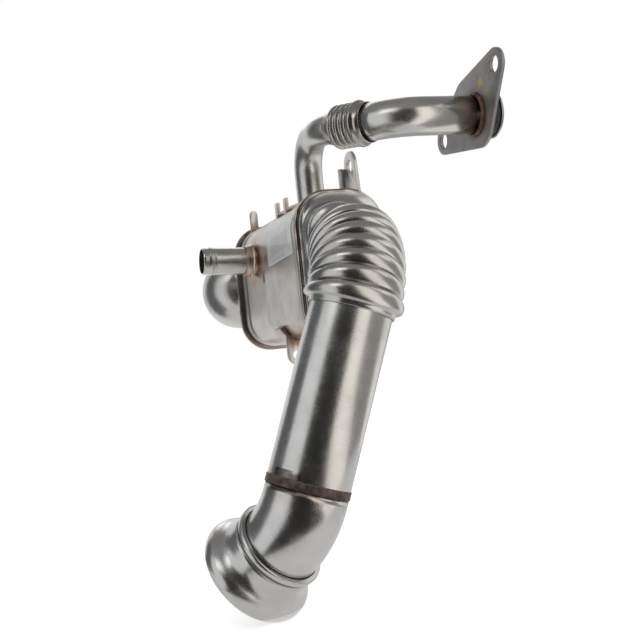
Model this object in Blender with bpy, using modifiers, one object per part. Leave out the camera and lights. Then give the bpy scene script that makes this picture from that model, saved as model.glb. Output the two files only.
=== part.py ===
"""Exhaust gas recirculation cooler: a brazed plate-and-tube core in a rounded housing, with a
pressed hood at each end, a bent gas bellows with its down pipe and bell mouth, and a bolted
gas pipe with a small bellows. The origin is the centre of the housing's flat underside, +Y runs
along the core, away from the big pipe, and +Z is up."""
import bpy
import bmesh
import math
from mathutils import Matrix, Vector

for old in list(bpy.data.objects):
    bpy.data.objects.remove(old, do_unlink=True)

MM = 0.001
MERGE = 0.00001
SEAT_GAP = 0.3 * MM        # between faces that touch
SOCKET_GAP = 0.4 * MM     # round a pipe in its socket

# housing and core
HOUSING_WIDTH = 54 * MM
HOUSING_HEIGHT = 90 * MM
HOUSING_LENGTH = 150 * MM
HOUSING_RADIUS = 20 * MM
HOUSING_WALL = 1.5 * MM
PLATE_THICKNESS = 2 * MM
RIM_LIP = 2.5 * MM
BAFFLE_THICKNESS = 1 * MM
BAFFLE_OFFSET = 24 * MM
BAFFLE_WINDOW = 17 * MM
GAS_TUBE_COUNT = 6
GAS_TUBE_SIDE_ROOM = 7 * MM
GAS_TUBE_WIDTH = HOUSING_WIDTH - 2 * GAS_TUBE_SIDE_ROOM
GAS_TUBE_HEIGHT = 8 * MM
GAS_TUBE_WALL = 0.8 * MM
GAS_TUBE_END_ROOM = 12.5 * MM
GAS_TUBE_SPAN = HOUSING_HEIGHT - 2 * GAS_TUBE_END_ROOM
GAS_TUBE_PITCH = GAS_TUBE_SPAN / (GAS_TUBE_COUNT - 1)

# hoods
HOOD_WALL = 1.5 * MM
HOOD_SKIRT = 5 * MM
HOOD_INSET = 1 * MM
FRONT_HOOD_PULL = 5 * MM
FRONT_HOOD_TAKE = 8 * MM
PAN_DEPTH = 13 * MM
PAN_EDGE = (            # (distance before the end, draw inwards) round the pan's end edge
    (5 * MM, 0),
    (2.4 * MM, 1.2 * MM),
    (0.7 * MM, 3.2 * MM),
    (0, 6 * MM),
)
REAR_RIM_RADIUS = 16 * MM
REAR_DOME_RADIUS = 29.5 * MM
REAR_DOME_INSET = 7 * MM
REAR_DOME_RISE = 1.5 * MM
REAR_DOME_SINK = 7 * MM
REAR_DOME_LENGTH = 56 * MM
DOME_FULLNESS = 0.8
DOME_STEPS = 8
RISER_SOCKET = 3 * MM
RISER_PORT_POINTS = 6

# big gas line
PIPE_DIAMETER = 48 * MM
PIPE_WALL = 1.5 * MM
PIPE_LENGTH = 106.4 * MM
PIPE_TOP_SIDE = -16.6 * MM
PIPE_TOP_REACH = 55 * MM
PIPE_TOP_HEIGHT = 16.4 * MM
PIPE_TOP = Vector((PIPE_TOP_SIDE, -HOUSING_LENGTH / 2 - PIPE_TOP_REACH, PIPE_TOP_HEIGHT))
PIPE_WAY = Vector((-0.346, 0.031, -0.938)).normalized()
OUTLET_WAY = Vector((-0.149, -0.899, -0.413)).normalized()
BELLOWS_LENGTH = 47.3 * MM
BELLOWS_RIDGES = 7
RIDGE_FULLNESS = 0.8
RIDGE_POINTS = 4
BELLOWS_ROOM = 0.9 * MM
BELLOWS_ROOT = PIPE_DIAMETER / 2 + BELLOWS_ROOM
BELLOWS_RIDGE = 2.8 * MM
BELLOWS_CREST = BELLOWS_ROOT + BELLOWS_RIDGE
BELLOWS_WALL = 0.8 * MM
BELLOWS_CUFF = 7 * MM
BELLOWS_FOOT = 3 * MM
ELBOW_RADIUS = 43 * MM
ELBOW_LEAD = 3.3 * MM
ELBOW_TAIL = 9.6 * MM
BELL_WAY = Vector((-0.48, 0.62, -0.62)).normalized()
BELL_WALL = 1.5 * MM
BELL_SOCKET_DEPTH = 8 * MM
BELL_LENGTH = 29.5 * MM
BELL_FLARE = 10 * MM
BELL_RADIUS = PIPE_DIAMETER / 2 + BELL_FLARE
BELL_COLLAR = 1.6 * MM
WELD_WIDTH = 5 * MM
WELD_HEIGHT = 0.7 * MM

# bolted gas pipe
REAR_PIPE_DIAMETER = 22.5 * MM
FRONT_PIPE_DIAMETER = 28 * MM
THIN_WALL = 1.2 * MM
RISER_SIDE = 15.5 * MM
RISER_BEYOND = 19 * MM
RISER_PLACE = (HOUSING_WIDTH / 2 + RISER_SIDE, HOUSING_LENGTH / 2 + RISER_BEYOND)
RISER_TURN = 24 * MM
RISER_RISE = 71 * MM
RISER_TOP = HOUSING_HEIGHT + RISER_RISE
RISER_TOP_TURN = 27 * MM
FLEX_LEAD = 10 * MM
FLEX_LEAD_TURN = 29 * MM
FLANGE_PIPE_TURN = 32 * MM
FLEX_SIDE = 4.1 * MM
FLEX_FROM_RISER = 51.9 * MM
FLEX_DROP = 1.9 * MM
FLEX_START = Vector((RISER_PLACE[0] + FLEX_SIDE, RISER_PLACE[1] - FLEX_FROM_RISER, RISER_TOP - FLEX_DROP))
FLEX_WAY = Vector((0.52, -0.85, -0.084)).normalized()
FLEX_RIDGES = 4
FLEX_PITCH = 5 * MM
FLEX_ROOM = 1.95 * MM
FLEX_ROOT = REAR_PIPE_DIAMETER / 2 + FLEX_ROOM
FLEX_RIDGE = 3.4 * MM
FLEX_CREST = FLEX_ROOT + FLEX_RIDGE
FLEX_WALL = 0.7 * MM
FLEX_REAR_CUFF = 5 * MM
FLEX_FRONT_CUFF = 10 * MM
FLEX_STEP = 1.5 * MM
FLEX_COLLAR = 0.6 * MM
FLEX_COLLAR_FROM = 1.6 * MM
FLEX_COLLAR_TO = 3.2 * MM
FLEX_SHOULDER = 5.2 * MM
FLANGE_REACH = 95.4 * MM
FLANGE_FACE = FLEX_START.x + FLANGE_REACH
FLANGE_THICKNESS = 3 * MM
FLANGE_HOLE = 12.6 * MM
PORT_FROM_FLEX = 54 * MM
PORT_DROP = 5.3 * MM
PORT_PLACE = (FLEX_START.y - PORT_FROM_FLEX, FLEX_START.z - PORT_DROP)
FLANGE_LOBES = (        # (across from the port, up from it, radius)
    (53.4 * MM, -6.8 * MM, 10.8 * MM),
    (13.9 * MM, 14.2 * MM, 15 * MM),
    (-35.4 * MM, 27.2 * MM, 11.6 * MM),
    (-4.1 * MM, -5.3 * MM, 20 * MM),
)
FLANGE_HOLES = (0, 2)
NOSE_LENGTH = 13 * MM
NOSE_LIP = 2.5 * MM
NOSE_CHAMFER = 0.8 * MM
NOSE_SHOULDER = 3.5 * MM
NOSE_RADIUS = FRONT_PIPE_DIAMETER / 2 + NOSE_SHOULDER
SEAL_LENGTH = 4.5 * MM
SEAL_SINK = 1.2 * MM
SEAL_RADIUS = NOSE_RADIUS - SEAL_SINK
FLANGE_WELD = 2 * MM

# coolant spigots
SPIGOT_DIAMETER = 19.4 * MM
SPIGOT_WALL = 1.2 * MM
SPIGOT_LENGTH = 38 * MM
SPIGOT_BEAD = 0.9 * MM
SPIGOT_RISE = math.radians(3)
INLET_PLACE = (34 * MM, 62.5 * MM)
OUTLET_PLACE = (20 * MM, 30 * MM)
FERRULE_LIP = 2.7 * MM
FERRULE_RADIUS = SPIGOT_DIAMETER / 2 + FERRULE_LIP
FERRULE_LENGTH = 6 * MM

# brackets
SHEET = 2 * MM
SEAT_BITE = 1 * MM        # how far a bracket's blank reaches in before the housing cuts it
SADDLE_FROM = -34 * MM
SADDLE_TO = -8 * MM
SADDLE_WRAP = math.radians(35)
EAR_SIDE = 8 * MM
EAR_PLACE = HOUSING_WIDTH / 2 + EAR_SIDE
EAR_RISE = 38 * MM
EAR_TOP = HOUSING_HEIGHT + EAR_RISE
EAR_HOLE = 9 * MM
EAR_RADIUS = 10.4 * MM
EAR_FLANGE = 4 * MM
FOLD_RISE = 28 * MM
FOLD_TOP = HOUSING_HEIGHT + FOLD_RISE
FOOT_INSET = 8.5 * MM
FOOT_PLACE = FOOT_INSET - HOUSING_WIDTH / 2
FOOT_RISE = 6 * MM
FOOT_HEIGHT = HOUSING_HEIGHT + FOOT_RISE
FOOT_WIDTH = 6 * MM
LUG_INSET = 11.5 * MM
LUG_FROM_END = 13 * MM
LUG_PLACE = (LUG_INSET - HOUSING_WIDTH / 2, HOUSING_LENGTH / 2 - LUG_FROM_END)
LUG_WIDTH = 6 * MM
LUG_RISE = 13 * MM
LUG_TOP = HOUSING_HEIGHT + LUG_RISE
TAB_INSET = 10.25 * MM
TAB_FROM_MIDDLE = 17 * MM
TAB_PLACE = (TAB_INSET - HOUSING_WIDTH / 2, -TAB_FROM_MIDDLE)
TAB_WIDTH = 13.5 * MM
TAB_HEIGHT = 15 * MM
TAB_HOLE = 6 * MM
TAB_FOOT = 16 * MM
TAB_WRAP = (math.radians(206), math.radians(262))

# facets round a turned piece
BIG_ROUND_STEPS = 24
SMALL_ROUND_STEPS = 14
LOOP_CORNER = 5
LOOP_SIDE = 2

parts = bpy.data.collections.new("egr_cooler")
cutters = bpy.data.collections.new("cutters")
bpy.context.scene.collection.children.link(parts)
bpy.context.scene.collection.children.link(cutters)


def make_material(name, colour, roughness, metallic=1.0):
    material = bpy.data.materials.new(name)
    material.use_nodes = True
    shader = material.node_tree.nodes["Principled BSDF"]
    shader.inputs["Base Color"].default_value = (*colour, 1.0)
    shader.inputs["Roughness"].default_value = roughness
    shader.inputs["Metallic"].default_value = metallic
    return material


steel = (0.62, 0.60, 0.58)
grey_steel = (0.36, 0.35, 0.34)
tinted_steel = (0.33, 0.26, 0.22)
graphite = (0.05, 0.05, 0.05)


def keep(mesh, name, colour=steel, roughness=0.3, metallic=1.0):
    """One object of the part from a finished mesh, with a material of its own."""
    thing = bpy.data.objects.new(name, mesh)
    parts.objects.link(thing)
    mesh.materials.clear()
    mesh.materials.append(make_material(name + "_finish", colour, roughness, metallic))
    mesh.shade_smooth()
    mesh.set_sharp_from_angle(angle=math.radians(35))
    return thing


def cutter(mesh, name):
    thing = bpy.data.objects.new(name, mesh)
    cutters.objects.link(thing)
    thing.hide_render = True
    thing.display_type = "WIRE"
    return thing


def combine(thing, tool, operation="DIFFERENCE"):
    step = thing.modifiers.new(tool.name, "BOOLEAN")
    step.operation = operation
    step.solver = "EXACT"
    step.object = tool


def baked(thing):
    """The evaluated mesh of an object, which is then removed."""
    bpy.context.view_layer.update()
    graph = bpy.context.evaluated_depsgraph_get()
    mesh = bpy.data.meshes.new_from_object(thing.evaluated_get(graph))
    mesh.transform(thing.matrix_world)
    bpy.data.objects.remove(thing, do_unlink=True)
    return mesh


def loose(mesh, name="work"):
    thing = bpy.data.objects.new(name, mesh)
    bpy.context.scene.collection.objects.link(thing)
    return thing


def aimed(place, way, side=Vector((1, 0, 0))):
    """A matrix at place whose Z runs along way and whose X lies near side."""
    z = way.normalized()
    x = (side - z * side.dot(z)).normalized()
    y = z.cross(x)
    turn = Matrix((x, y, z)).transposed()
    return Matrix.Translation(place) @ turn.to_4x4()


def turned(profile, steps, closed=True):
    """A profile of (radius, height) turned round Z. It runs down its outer side."""
    mesh = bpy.data.meshes.new("profile")
    work = bmesh.new()
    points = [work.verts.new((radius, 0, height)) for radius, height in profile]
    for first, second in zip(points, points[1:]):
        work.edges.new((first, second))
    if closed:
        work.edges.new((points[-1], points[0]))
    work.to_mesh(mesh)
    work.free()
    thing = loose(mesh)
    screw = thing.modifiers.new("turn", "SCREW")
    screw.angle = math.tau
    screw.steps = steps
    screw.render_steps = steps
    screw.use_merge_vertices = True
    screw.merge_threshold = MERGE
    return thing


def sleeve(outer, wall, start, end):
    """The closed profile of a straight tube between two heights."""
    return [(outer, end), (outer, start), (outer - wall, start), (outer - wall, end)]


def drum(radius, start, end):
    """A solid cylinder along Z, for a cutter."""
    mesh = bpy.data.meshes.new("drum")
    work = bmesh.new()
    bmesh.ops.create_cone(work, cap_ends=True, segments=BIG_ROUND_STEPS, radius1=radius, radius2=radius,
                          depth=end - start)
    bmesh.ops.translate(work, verts=work.verts, vec=(0, 0, (start + end) / 2))
    work.to_mesh(mesh)
    work.free()
    return mesh


def box(low, high, rounding=0.0, along=None, segments=5):
    """A box between two corners, with the edges along one axis rounded."""
    mesh = bpy.data.meshes.new("box")
    work = bmesh.new()
    bmesh.ops.create_cube(work, size=1)
    size = Vector(high) - Vector(low)
    bmesh.ops.scale(work, verts=work.verts, vec=size)
    bmesh.ops.translate(work, verts=work.verts, vec=(Vector(low) + Vector(high)) / 2)
    if along is not None:
        edges = [e for e in work.edges
                 if abs((e.verts[0].co - e.verts[1].co).normalized()[along]) > 0.9]
        bmesh.ops.bevel(work, geom=edges, offset=rounding, segments=segments, profile=0.5,
                        affect="EDGES", material=-1)
    work.to_mesh(mesh)
    work.free()
    return mesh


def route(corners, step=math.radians(9)):
    """A list of points along straight runs, with each (point, radius) corner rounded off."""
    points = [corners[0][0].copy()]
    for before, corner, after in zip(corners, corners[1:], corners[2:]):
        point, radius = corner
        back = (before[0] - point).normalized()
        ahead = (after[0] - point).normalized()
        angle = math.pi - back.angle(ahead)
        reach = radius * math.tan(angle / 2)
        centre = point + (back + ahead).normalized() * (radius / math.cos(angle / 2))
        start = point + back * reach - centre
        axis = (-back).cross(ahead).normalized()
        count = max(2, round(angle / step))
        for index in range(count + 1):
            points.append(centre + Matrix.Rotation(angle * index / count, 3, axis) @ start)
    points.append(corners[-1][0].copy())
    return points


def swept(points, radius, sides, capped=False):
    """A round tube surface along points, made from a bevelled curve."""
    curve = bpy.data.curves.new("route", "CURVE")
    curve.dimensions = "3D"
    curve.bevel_depth = radius
    curve.bevel_resolution = (sides - 4) // 2
    curve.use_fill_caps = capped
    spline = curve.splines.new("POLY")
    spline.points.add(len(points) - 1)
    for target, point in zip(spline.points, points):
        target.co = (*point, 1)
    mesh = baked(loose(curve, "swept"))
    work = bmesh.new()
    work.from_mesh(mesh)
    bmesh.ops.remove_doubles(work, verts=work.verts, dist=MERGE)
    if capped:
        bmesh.ops.recalc_face_normals(work, faces=work.faces)
    work.to_mesh(mesh)
    work.free()
    return mesh


def hollow(thing, wall):
    step = thing.modifiers.new("wall", "SOLIDIFY")
    step.thickness = wall
    step.offset = -1
    step.use_even_offset = True


def face_out(mesh, centre_of):
    """Turn an open surface so that its faces point away from the line given by centre_of."""
    away = sum((face.center - centre_of(face.center)).dot(face.normal) for face in mesh.polygons)
    if away < 0:
        mesh.flip_normals()


def spot_distance(spot):
    def distance(point):
        return (point - spot).length
    return distance


def pipe(points, diameter, wall, sides, name, **finish):
    mesh = swept(points, diameter / 2, sides)

    def nearest(spot):
        return min(points, key=spot_distance(spot))

    face_out(mesh, nearest)
    thing = keep(mesh, name, **finish)
    hollow(thing, wall)
    return thing


def rounded_loop(width, height, radius):
    """Points round a rounded rectangle, with as many on each corner and side as round a circle."""
    loop = []
    spots = ((1, 1), (-1, 1), (-1, -1), (1, -1))
    for index, (across, up) in enumerate(spots):
        centre = Vector((across * (width / 2 - radius), up * (height / 2 - radius)))
        for point in range(LOOP_CORNER):
            angle = math.radians(90) * (index + point / (LOOP_CORNER - 1))
            loop.append(centre + Vector((math.cos(angle), math.sin(angle))) * radius)
        following = spots[(index + 1) % 4]
        centre = Vector((following[0] * (width / 2 - radius), following[1] * (height / 2 - radius)))
        angle = math.radians(90) * (index + 1)
        goal = centre + Vector((math.cos(angle), math.sin(angle))) * radius
        start = loop[-1]
        for point in range(1, LOOP_SIDE + 1):
            loop.append(start.lerp(goal, point / (LOOP_SIDE + 1)))
    return loop


def circle_loop(radius):
    """Points round a circle that answer to those of rounded_loop."""
    count = 4 * (LOOP_CORNER + LOOP_SIDE)
    step = math.tau / count
    start = math.radians(45) - step * (LOOP_CORNER - 1) / 2
    return [Vector((math.cos(start + step * i), math.sin(start + step * i))) * radius
            for i in range(count)]


def blended(first, second, share):
    return [a.lerp(b, share) for a, b in zip(first, second)]


def lofted(sections, closed_end=False):
    """An open skin through sections, each a (matrix, loop) whose loop lies in the matrix's XY."""
    mesh = bpy.data.meshes.new("loft")
    work = bmesh.new()
    rings = [[work.verts.new(place @ Vector((p.x, p.y, 0))) for p in loop]
             for place, loop in sections]
    for lower, upper in zip(rings, rings[1:]):
        for index in range(len(lower)):
            after = (index + 1) % len(lower)
            work.faces.new((lower[index], lower[after], upper[after], upper[index]))
    if closed_end:
        work.faces.new(rings[-1])
    work.to_mesh(mesh)
    work.free()
    return mesh


def smooth_share(share):
    return share * share * (3 - 2 * share)


HALF_LENGTH = HOUSING_LENGTH / 2
CORE_HEIGHT = HOUSING_HEIGHT / 2
REAR_DOME_PLACE = (REAR_DOME_INSET - HOUSING_WIDTH / 2, CORE_HEIGHT + REAR_DOME_RISE)
REAR_DOME_FROM = HALF_LENGTH + REAR_DOME_SINK
REAR_DOME_TO = REAR_DOME_FROM + REAR_DOME_LENGTH
PLATE_FACE = HALF_LENGTH + SEAT_GAP
RIM_FACE = PLATE_FACE + PLATE_THICKNESS + SEAT_GAP
OUTLET_RADIUS = BELLOWS_ROOT - BELLOWS_WALL - SOCKET_GAP
BEND_ANGLE = OUTLET_WAY.angle(PIPE_WAY)
BEND_RADIUS = BELLOWS_LENGTH / BEND_ANGLE
BEND_SIDE = (PIPE_WAY - OUTLET_WAY * OUTLET_WAY.dot(PIPE_WAY)).normalized()
BEND_END = OUTLET_WAY * math.sin(BEND_ANGLE) + BEND_SIDE * (1 - math.cos(BEND_ANGLE))
OUTLET_PLACE_3D = PIPE_TOP - BEND_END * BEND_RADIUS
RIM_LOOP = (HOUSING_WIDTH + 2 * RIM_LIP, HOUSING_HEIGHT + 2 * RIM_LIP, HOUSING_RADIUS + RIM_LIP)
REAR_RIM_LOOP = (*RIM_LOOP[:2], REAR_RIM_RADIUS)
HOOD_LOOP = (HOUSING_WIDTH - HOOD_INSET, HOUSING_HEIGHT - HOOD_INSET, HOUSING_RADIUS)


def along_bend(spot):
    """Carry a point from the straight bellows, drawn down Z, onto the bent centre line."""
    run = min(max(spot.z, 0), BELLOWS_LENGTH)
    beyond = spot.z - run
    angle = run / BEND_RADIUS
    ahead = OUTLET_WAY * math.cos(angle) + BEND_SIDE * math.sin(angle)
    inward = BEND_SIDE * math.cos(angle) - OUTLET_WAY * math.sin(angle)
    across = OUTLET_WAY.cross(BEND_SIDE)
    centre = (OUTLET_PLACE_3D + OUTLET_WAY * BEND_RADIUS * math.sin(angle)
              + BEND_SIDE * BEND_RADIUS * (1 - math.cos(angle)))
    return centre + ahead * beyond + inward * spot.x + across * spot.y


def gas_tube_heights():
    first = CORE_HEIGHT - GAS_TUBE_PITCH * (GAS_TUBE_COUNT - 1) / 2
    return [first + GAS_TUBE_PITCH * index for index in range(GAS_TUBE_COUNT)]


def slot_cutter(name, clearance):
    """One mesh of flat oval bars, where the gas tubes pass through a plate."""
    work = bmesh.new()
    for height in gas_tube_heights():
        reach = GAS_TUBE_WIDTH / 2 + clearance
        half = GAS_TUBE_HEIGHT / 2 + clearance
        bar = box((-reach, -HOUSING_LENGTH, height - half), (reach, HOUSING_LENGTH, height + half),
                  rounding=half * 0.98, along=1, segments=2)
        work.from_mesh(bar)
    mesh = bpy.data.meshes.new(name)
    work.to_mesh(mesh)
    work.free()
    return cutter(mesh, name)


def build_housing():
    half = HOUSING_WIDTH / 2
    mesh = box((-half, -HALF_LENGTH, 0), (half, HALF_LENGTH, HOUSING_HEIGHT),
               rounding=HOUSING_RADIUS, along=1, segments=6)
    inner = box((-half + HOUSING_WALL, -HOUSING_LENGTH, HOUSING_WALL),
                (half - HOUSING_WALL, HOUSING_LENGTH, HOUSING_HEIGHT - HOUSING_WALL),
                rounding=HOUSING_RADIUS - HOUSING_WALL, along=1, segments=6)
    housing = keep(mesh, "housing", roughness=0.35)
    combine(housing, cutter(inner, "housing_bore"))
    for side, place in ((-1, INLET_PLACE), (1, OUTLET_PLACE)):
        hole = drum(SPIGOT_DIAMETER / 2 + SOCKET_GAP, -2 * HOUSING_WALL, FERRULE_LENGTH)
        tool = cutter(hole, "spigot_hole")
        tool.matrix_world = spigot_place(side, place)
        combine(housing, tool)


def spigot_place(side, place):
    """Z points out of the housing's wall, tipped up by the spigot's rise on the inlet side."""
    rise = SPIGOT_RISE if side < 0 else 0
    way = Vector((side * math.cos(rise), 0, math.sin(rise)))
    return aimed(Vector((side * HOUSING_WIDTH / 2, place[0], place[1])), way, Vector((0, 1, 0)))


def build_spigot(side, place, prefix):
    """A hose spigot with its bead, and the brazed ferrule that seats it on the housing."""
    radius = SPIGOT_DIAMETER / 2
    end = SPIGOT_LENGTH
    bead = SPIGOT_BEAD
    profile = [
        (radius - bead, end), (radius, end - bead), (radius, end - 4.5 * bead),
        (radius + bead, end - 6 * bead), (radius + bead, end - 7.5 * bead), (radius, end - 9 * bead),
        (radius, -HOUSING_WALL), (radius - SPIGOT_WALL, -HOUSING_WALL),
        (radius - SPIGOT_WALL, end),
    ]
    spigot = baked(turned(profile, SMALL_ROUND_STEPS))
    spigot.transform(spigot_place(side, place))
    keep(spigot, prefix + "_spigot", roughness=0.28)
    inner = radius + SOCKET_GAP
    lift = SEAT_GAP + FERRULE_RADIUS * math.tan(SPIGOT_RISE if side < 0 else 0)
    ring = [
        (inner + 1.2 * MM, lift + FERRULE_LENGTH), (FERRULE_RADIUS - 1.4 * MM, lift + FERRULE_LENGTH / 2),
        (FERRULE_RADIUS, lift), (inner, lift), (inner, lift + FERRULE_LENGTH),
    ]
    ferrule = baked(turned(ring, SMALL_ROUND_STEPS))
    ferrule.transform(spigot_place(side, place))
    keep(ferrule, prefix + "_ferrule", colour=(0.55, 0.36, 0.26), roughness=0.4)


def plate_outline(name, lip, near, far, slots, colour=grey_steel):
    half = HOUSING_WIDTH / 2 + lip
    mesh = box((-half, near, -lip), (half, far, HOUSING_HEIGHT + lip),
               rounding=HOUSING_RADIUS + lip, along=1, segments=6)
    plate = keep(mesh, name, colour=colour, roughness=0.4)
    combine(plate, slots)
    return plate


def build_core():
    """Tube plates at both ends, flat gas tubes between them and two coolant baffles."""
    slots = slot_cutter("tube_slots", SEAT_GAP)
    plate_outline("front_tube_plate", RIM_LIP, -PLATE_FACE - PLATE_THICKNESS, -PLATE_FACE, slots)
    plate_outline("rear_tube_plate", RIM_LIP, PLATE_FACE, PLATE_FACE + PLATE_THICKNESS, slots)
    inset = -HOUSING_WALL - SEAT_GAP
    for index, (name, side) in enumerate((("front_baffle", -1), ("rear_baffle", 1))):
        middle = side * BAFFLE_OFFSET
        baffle = plate_outline(name, inset, middle - BAFFLE_THICKNESS / 2,
                               middle + BAFFLE_THICKNESS / 2, slots)
        low = HOUSING_HEIGHT - BAFFLE_WINDOW if index else -BAFFLE_WINDOW
        window = box((-HOUSING_WIDTH, middle - HOUSING_WALL, low),
                     (HOUSING_WIDTH, middle + HOUSING_WALL, low + 2 * BAFFLE_WINDOW))
        combine(baffle, cutter(window, name + "_window"))
    reach = PLATE_FACE + PLATE_THICKNESS
    across = GAS_TUBE_WIDTH / 2
    half = GAS_TUBE_HEIGHT / 2
    bores = slot_cutter("tube_bores", -GAS_TUBE_WALL)
    for index, height in enumerate(gas_tube_heights()):
        bar = box((-across, -reach, height - half), (across, reach, height + half),
                  rounding=half * 0.98, along=1, segments=2)
        combine(keep(bar, "gas_tube_" + str(index + 1), roughness=0.35), bores)


def build_front_hood():
    """A pressed hood that turns the gas from the core's end down into the bent bellows."""
    base = aimed(Vector((0, -RIM_FACE - HOOD_WALL, CORE_HEIGHT)), Vector((0, -1, 0)))
    mouth = rounded_loop(*HOOD_LOOP)
    port = circle_loop(OUTLET_RADIUS)
    collar = OUTLET_PLACE_3D - OUTLET_WAY * (BELLOWS_CUFF + HOOD_WALL)
    start = base @ Vector((0, 0, HOOD_SKIRT))
    pull_start = start + Vector((0, -1, 0)) * FRONT_HOOD_PULL
    pull_end = collar - OUTLET_WAY * FRONT_HOOD_TAKE
    turn_start = base.to_quaternion()
    turn_end = aimed(collar, OUTLET_WAY).to_quaternion()
    sections = [(base, rounded_loop(*RIM_LOOP)), (base, mouth)]
    count = 7
    for index in range(count + 1):
        share = index / count
        place = (start * (1 - share) ** 3 + pull_start * 3 * share * (1 - share) ** 2
                 + pull_end * 3 * share ** 2 * (1 - share) + collar * share ** 3)
        turn = turn_start.slerp(turn_end, smooth_share(share))
        matrix = Matrix.Translation(place) @ turn.to_matrix().to_4x4()
        sections.append((matrix, blended(mouth, port, 1 - (1 - share) ** 3)))
    sections.append((aimed(OUTLET_PLACE_3D - OUTLET_WAY * SEAT_GAP, OUTLET_WAY), port))
    hood = keep(lofted(sections), "front_hood", roughness=0.22)
    hollow(hood, HOOD_WALL)


def riser_route(reach):
    """The rear pipe's centre line, from reach inside the dome's side up to the small bellows."""
    start = REAR_DOME_PLACE[0] + REAR_DOME_RADIUS - reach
    foot = Vector((*RISER_PLACE, REAR_DOME_PLACE[1]))
    top = Vector((*RISER_PLACE, RISER_TOP))
    bend = FLEX_START - FLEX_WAY * FLEX_LEAD
    join = FLEX_START + FLEX_WAY * FLEX_REAR_CUFF
    corners = [(Vector((start, foot.y, foot.z)), 0), (foot, RISER_TURN),
               (top, RISER_TOP_TURN), (bend, FLEX_LEAD_TURN), (join, 0)]
    return route(corners, math.radians(18))


def pan(inset, near, far, flange=False):
    """A closed pan with rounded end edges, drawn in by inset from the rear hood's outside."""
    width, height, radius = HOOD_LOOP
    steps = [(near, 0)] + [(far - back, draw) for back, draw in PAN_EDGE]
    sections = []
    if flange:
        rim = rounded_loop(*REAR_RIM_LOOP)
        sections += [(near, rim), (near + HOOD_WALL, rim)]
        steps[0] = (near + HOOD_WALL, 0)
    for place, draw in steps:
        total = 2 * (inset + draw)
        sections.append((place, rounded_loop(width - total, height - total, radius - inset - draw)))
    way = Vector((0, 1, 0))
    placed = [(aimed(Vector((0, place, CORE_HEIGHT)), way), loop) for place, loop in sections]
    mesh = lofted(placed, closed_end=True)
    work = bmesh.new()
    work.from_mesh(mesh)
    bmesh.ops.holes_fill(work, edges=[e for e in work.edges if e.is_boundary], sides=0)
    bmesh.ops.recalc_face_normals(work, faces=work.faces)
    work.to_mesh(mesh)
    work.free()
    return mesh


def dome(inset):
    """A bulged dome turned about the rear hood's side, drawn in by inset."""
    middle = (REAR_DOME_FROM + REAR_DOME_TO) / 2
    half = (REAR_DOME_TO - REAR_DOME_FROM) / 2 - inset
    radius = REAR_DOME_RADIUS - inset
    profile = []
    for step in range(DOME_STEPS + 1):
        angle = math.pi * step / DOME_STEPS
        profile.append((radius * math.sin(angle) ** DOME_FULLNESS, half * math.cos(angle)))
    profile[0] = (0, half)
    profile[-1] = (0, -half)
    mesh = baked(turned(profile, BIG_ROUND_STEPS, closed=False))
    place = Vector((REAR_DOME_PLACE[0], middle, REAR_DOME_PLACE[1]))
    mesh.transform(aimed(place, Vector((0, 1, 0))))
    return mesh


def build_rear_hood():
    """A pressed pan with a dome bulged out of one side, and the riser's port in the dome's flank."""
    end = RIM_FACE + PAN_DEPTH
    hood = keep(pan(0, RIM_FACE, end, True), "rear_hood", roughness=0.22)
    combine(hood, cutter(dome(0), "dome_outside"), "UNION")
    combine(hood, cutter(pan(HOOD_WALL, RIM_FACE - HOOD_WALL, end - HOOD_WALL), "pan_inside"))
    combine(hood, cutter(dome(HOOD_WALL), "dome_inside"))
    port = swept(riser_route(REAR_DOME_RADIUS)[:RISER_PORT_POINTS],
                 REAR_PIPE_DIAMETER / 2 + SOCKET_GAP, SMALL_ROUND_STEPS, True)
    combine(hood, cutter(port, "riser_port"))


def ridge_profile(root, crest, pitch, ridges, start):
    """(radius, height) points over a row of round ridges, from start on."""
    points = RIDGE_POINTS
    total = ridges * points
    profile = []
    for index in range(total + 1):
        wave = 0.5 - 0.5 * math.cos(math.tau * index / points)
        profile.append((root + (crest - root) * wave ** RIDGE_FULLNESS, start + pitch * index / points))
    return profile


def build_bellows():
    """The bent convoluted bellows: turned straight, given its wall, then laid along its bend."""
    foot = PIPE_DIAMETER / 2 + SOCKET_GAP + BELLOWS_WALL
    last = BELLOWS_LENGTH
    outer = [(BELLOWS_ROOT, -BELLOWS_CUFF)]
    outer += ridge_profile(BELLOWS_ROOT, BELLOWS_CREST, BELLOWS_LENGTH / BELLOWS_RIDGES,
                           BELLOWS_RIDGES, 0)
    outer[-1] = (foot, last)
    outer.append((foot, last + BELLOWS_FOOT))
    outer.reverse()
    thing = turned(outer, BIG_ROUND_STEPS, closed=False)
    hollow(thing, BELLOWS_WALL)
    mesh = baked(thing)
    for vertex in mesh.vertices:
        vertex.co = along_bend(vertex.co)
    keep(mesh, "gas_bellows", roughness=0.25)


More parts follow.
